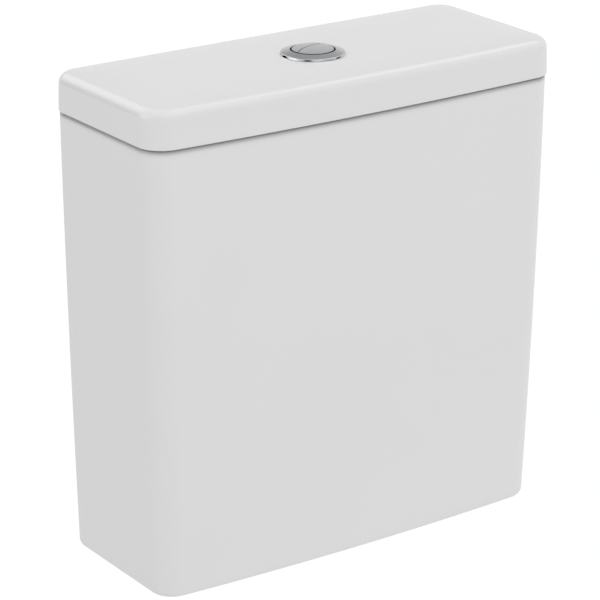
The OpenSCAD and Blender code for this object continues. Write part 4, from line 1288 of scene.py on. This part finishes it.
    def build(self, coil: Maker, thread: Maker) -> None:
        """Make the bezel, springs, sleeve thread and buttons, and dress the rest.

        Args:
            coil: Tree of a coil.
            thread: Tree of a screw thread.
        """
        add_piece("chrome_bezel", self.bezel(), CHROME, Body.LID, ["button_bezel"])
        self.springs(coil)
        low = self.lid.top_z - self.sleeve_len + self.thread_low
        high = self.lid.under_z - self.locknut_h - self.thread_high
        sleeve = Thread(self.sleeve_r, (0.0, 0.0, low), high - low, self.thread_pitch, self.thread_ridge)
        sleeve.build("sleeve_thread", thread, CHROME, Body.LID)
        for name, inside, off, body in (("full", True, self.full_off, Body.FULL_BUTTON),
                                        ("half", False, self.half_off, Body.HALF_BUTTON)):
            mesh = self.button(name + "_button_cap", inside, off)
            add_piece(name + "_button_cap", mesh, BUTTON_CHROME, body, [name + "_flush_button"])
        dress(WHITE, "button_locknut", "button_carrier", "full_flush_pushrod", "half_flush_pushrod")


@dataclass
class FlushValve:
    """Lever-lifted dual flush valve with its foam coupling seal."""

    tail_r: float = 29.8
    nut_r: float = 38.0
    lug: float = 2.5
    gap: float = 0.3
    nut_low: float = 3.0
    seal_r: float = 46.0
    seal_low: float = -6.0
    seal_top: float = 13.5
    seal_steps: int = 128
    seal_sharp: float = 60.0
    shoulder_r: float = 3.2
    shoulder_sweep: float = 80.0
    shoulder_steps: int = 8
    waist: float = 0.25
    bore_top: tuple[Pair, ...] = ((0.1, -0.4), (0.0, -1.6))
    bore_foot: tuple[Pair, ...] = ((0.0, 1.4), (0.5, 0.35), (1.5, 0.0))
    nut_top: tuple[Pair, ...] = ((0.9, 0.0), (0.15, -0.8), (0.0, -2.5))
    nut_foot: tuple[Pair, ...] = ((0.0, 1.0), (-0.6, 0.0))

    def foam(self) -> bpy.types.Mesh:
        """Foam ring with a slight waist and rounded shoulders.

        Returns:
            The turned mesh, inside the seal's CAD solid.
        """
        inner, nut = self.tail_r + self.gap, self.nut_r + self.lug + self.gap
        r, side = self.shoulder_r, self.seal_r - self.shoulder_r
        profile = shifted(self.bore_top, inner, self.nut_low) + shifted(self.bore_foot, inner, self.seal_low)
        profile += arc((side, self.seal_low + r), r, -90, 0, self.shoulder_steps)
        profile.append((self.seal_r - self.waist, (self.seal_low + self.seal_top) / 2))
        profile += arc((side, self.seal_top - r), r, 0, self.shoulder_sweep, self.shoulder_steps)
        profile += shifted(self.nut_top, nut, self.seal_top) + shifted(self.nut_foot, nut, self.nut_low)
        return revolve("foam", profile, self.seal_steps, self.seal_sharp)

    def build(self) -> None:
        """Make the foam seal and dress the valve."""
        seal = add_piece("foam_seal", self.foam(), FOAM, Body.TANK, ["coupling_seal"])
        dress(WHITE, "flush_valve_base", "flush_valve_back_nut", "flush_valve_cage", "actuator_bridge",
              "overflow_tube")
        dress(BLUE, "full_flush_lever", "half_flush_lever", "full_flush_float", "full_flush_lifter",
              "half_flush_lifter")
        dress(GREY, "seal_retainer", "half_flush_float")
        dress(RUBBER, "flush_valve_washer", "valve_seal")
        dress(STEEL, "lever_pins")


@dataclass
class FillValve:
    """Bottom-entry fill valve with its float."""

    at: Pair = (122.0, 18.0)
    inlet_r: float = 10.48
    inlet_reach: float = 34.0
    supply_r: float = 6.5
    thread_pitch: float = 1.8
    thread_ridge: float = 0.5
    thread_sink: float = 0.15
    thread_low: float = 1.5
    thread_short: float = 4.0
    gauze_inset: float = 1.2
    gauze_lift: float = 0.4
    gauze_wires: int = 11
    gauze_wire: float = 0.14
    cup_r: float = 31.0
    cup_low: float = 130.0
    cup_h: float = 60.0
    rib_n: int = 24
    rib_r: float = 0.8
    rib_sink: float = 0.1
    rib_short: float = 20.0
    rib_drop: float = 4.0

    def build(self, thread: Maker, ribs: Maker, gauze: Maker) -> None:
        """Make the inlet's thread, the strainer's gauze and the float's ribs, and dress the valve.

        Args:
            thread: Tree of a screw thread.
            ribs: Tree of grip ribs.
            gauze: Tree of a wire gauze.
        """
        x, y = (c * MM for c in self.at)
        inlet = Thread(self.inlet_r - self.thread_sink, (*self.at, self.thread_low - self.inlet_reach),
                       self.inlet_reach - self.thread_short, self.thread_pitch, self.thread_ridge)
        inlet.build("inlet_thread", thread, WHITE, Body.TANK)
        gauze.piece("strainer_gauze", STEEL, Body.TANK, Radius=(self.supply_r - self.gauze_inset) * MM,
                    Wires=self.gauze_wires, Wire=self.gauze_wire * MM,
                    Place=(x, y, (self.gauze_lift - self.inlet_reach) * MM))
        middle = self.cup_low + self.cup_h / 2 - self.rib_drop
        ribs.piece("float_ribs", BLUE, Body.FLOAT, Radius=(self.cup_r - self.rib_sink) * MM,
                   Count=self.rib_n, Thickness=self.rib_r * MM, Place=(x, y, middle * MM),
                   Length=(self.cup_h - self.rib_short) * MM)
        dress(WHITE, "fill_valve_shank", "fill_valve_nut", "fill_valve_riser", "fill_valve_head",
              "fill_valve_cap")
        dress(GREY, "inlet_filter", "riser_lock_collar", "float_link", "float_lever")
        dress(BLUE, "float_cup")
        dress(RUBBER, "fill_valve_washer", "valve_diaphragm")
        dress(STEEL, "float_lever_pin")


@dataclass
class PanFixings:
    """Two bolts with seals, washers and nuts."""

    bolt_x: float = 80.0
    thread_r: float = 3.6
    thread_sink: float = 0.05
    thread_ridge: float = 0.38
    thread_low: float = 0.8
    thread_short: float = 1.2
    thread_top: float = 4.0
    reach: float = 30.0
    pitch: float = 1.25

    def build(self, thread: Maker) -> None:
        """Make the bolts' threads and dress the fixings.

        Args:
            thread: Tree of a screw thread.
        """
        bolts = Thread(self.thread_r - self.thread_sink, (-self.bolt_x, 0.0, self.thread_low - self.reach),
                       self.thread_top + self.reach - self.thread_short, self.pitch, self.thread_ridge,
                       2 * self.bolt_x, 2)
        bolts.build("bolt_threads", thread, STEEL, Body.TANK)
        dress(STEEL, "coupling_bolts", "bolt_washers", "coupling_nuts")
        dress(RUBBER, "bolt_seals")


@dataclass
class Softbox:
    """One soft light."""

    name: str
    at: Point
    look: Point
    size: Pair
    power: float

    def build(self) -> None:
        """Hang the light, turned to where it looks."""
        light = bpy.data.lights.new(self.name, "AREA")
        light.shape, light.size, light.size_y, light.energy = "RECTANGLE", *self.size, self.power
        lamp = placed(self.name, light)
        lamp.location = self.at
        lamp.rotation_euler = (Vector(self.look) - Vector(self.at)).to_track_quat("-Z", "Y").to_euler()


@dataclass
class Patch:
    """A soft-edged part of the dome that is brighter or darker than the rest."""

    way: Point
    inner: float
    outer: float
    gain: float

    def level(self, graph: Graph, way: Sock) -> Sock:
        """What the patch adds to the dome.

        Args:
            graph: The dome's node tree.
            way: Direction of sight.

        Returns:
            The added brightness.
        """
        near = graph.vector("DOT_PRODUCT", way, tuple(Vector(self.way).normalized()))
        edges = (math.cos(math.radians(angle)) for angle in (self.outer, self.inner))
        return graph.band(near, *edges, 0.0, self.gain, "SMOOTHSTEP")


@dataclass
class Studio:
    """White floor, soft dome and the camera that took the picture."""

    azimuth: float = -34.86
    elevation: float = 20.12
    distance: float = 2.14576
    target: Point = (-0.01407, -0.00368, 0.18892)
    lens_px: float = 2826.71
    image_px: float = 600.0
    sensor: float = 36.0
    clip: Pair = (0.05, 100.0)
    floor_z: float = -0.040
    floor_size: float = 40.0
    floor_glow: float = 1.02
    dome_mean: float = 0.828
    dome_up: float = 0.062
    dome_front: float = 0.137
    dome_right: float = 0.066
    patches: list[Patch] = field(default_factory=lambda: [
        Patch((-0.75, -0.58, 0.31), 6.0, 20.0, -0.8),
        Patch((0.41, -0.91, 0.26), 10.0, 30.0, -0.32),
        Patch((-0.50, 0.86, 0.10), 6.0, 16.0, -0.75),
        Patch((0.91, -0.42, 0.10), 7.0, 18.0, -0.8),
        Patch((-0.96, 0.07, 0.26), 6.0, 14.0, 0.5),
        Patch((0.386, 0.554, 0.737), 8.0, 40.0, -0.34),
        Patch((-0.80, 0.40, 0.42), 10.0, 22.0, 0.8),
        Patch((0.62, 0.05, 0.78), 6.0, 18.0, 1.3),
        Patch((-0.12, 0.79, 0.56), 6.0, 26.0, 0.9)])
    lamps: list[Softbox] = field(default_factory=lambda: [
        Softbox("top_softbox", (0.25, -1.1, 2.2), (0.0, 0.0, 0.3), (1.6, 1.2), 3.5)])

    def camera(self) -> None:
        """Set up the camera."""
        az, el = math.radians(self.azimuth), math.radians(self.elevation)
        view = Vector((-math.sin(az) * math.cos(el), math.cos(az) * math.cos(el), -math.sin(el)))
        data = bpy.data.cameras.new("photo_camera")
        data.sensor_fit, data.sensor_width = "HORIZONTAL", self.sensor
        data.lens = self.lens_px / self.image_px * data.sensor_width
        data.clip_start, data.clip_end = self.clip
        eye = placed("photo_camera", data)
        eye.location = Vector(self.target) - self.distance * view
        eye.rotation_euler = view.to_track_quat("-Z", "Y").to_euler()
        bpy.context.scene.camera = eye

    def floor(self) -> None:
        """Lay the plain floor."""
        half = self.floor_size / 2
        corners = ((-half, -half), (half, -half), (half, half), (-half, half))
        mesh = bpy.data.meshes.new("studio_floor")
        mesh.from_pydata([(x, y, self.floor_z) for x, y in corners], [], [(0, 1, 2, 3)])
        paper = bpy.data.materials.new("floor_paper")
        graph = fresh_graph(paper)
        glow = graph.node("ShaderNodeEmission", {}, {"Color": WHITE_LIGHT, "Strength": self.floor_glow})
        graph.node("ShaderNodeOutputMaterial", {}, {"Surface": glow})
        mesh.materials.append(paper)
        floor = placed("studio_floor", mesh)
        floor.visible_diffuse = floor.visible_glossy = floor.visible_shadow = False

    def dome(self) -> None:
        """Surround the object with a soft dome that is brighter above, in front and on the right."""
        world = bpy.data.worlds.new("studio_dome")
        graph = fresh_graph(world)
        way = graph.coords("Generated")
        right, back, up = (graph.part(way, axis) for axis in range(3))
        level = self.dome_mean + self.dome_right * right - self.dome_front * back + self.dome_up * up
        for patch in self.patches:
            level = level + patch.level(graph, way)
        sky = graph.node("ShaderNodeBackground", {}, {"Color": WHITE_LIGHT, "Strength": level})
        graph.node("ShaderNodeOutputWorld", {}, {"Surface": sky})
        bpy.context.scene.world = world

    def build(self) -> None:
        """Set up the camera, floor, dome and lamps."""
        self.camera()
        self.floor()
        self.dome()
        for lamp in self.lamps:
            lamp.build()
        bpy.context.scene.view_settings.view_transform = "Standard"


def main() -> None:
    """Build the studio and the sub-assemblies in order."""
    logging.basicConfig(level=logging.INFO, format="%(name)s: %(message)s")
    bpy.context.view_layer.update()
    Studio().build()
    coil, thread, ribs, gauze = coil_maker(), thread_maker(), rib_maker(), gauze_maker()
    tank = CisternTank()
    lid = CisternLid(tank)
    tank.build()
    lid.build()
    PushButton(lid).build(coil, thread)
    FlushValve().build()
    FillValve().build(thread, ribs, gauze)
    PanFixings().build(thread)


if __name__ == "__main__":
    main()
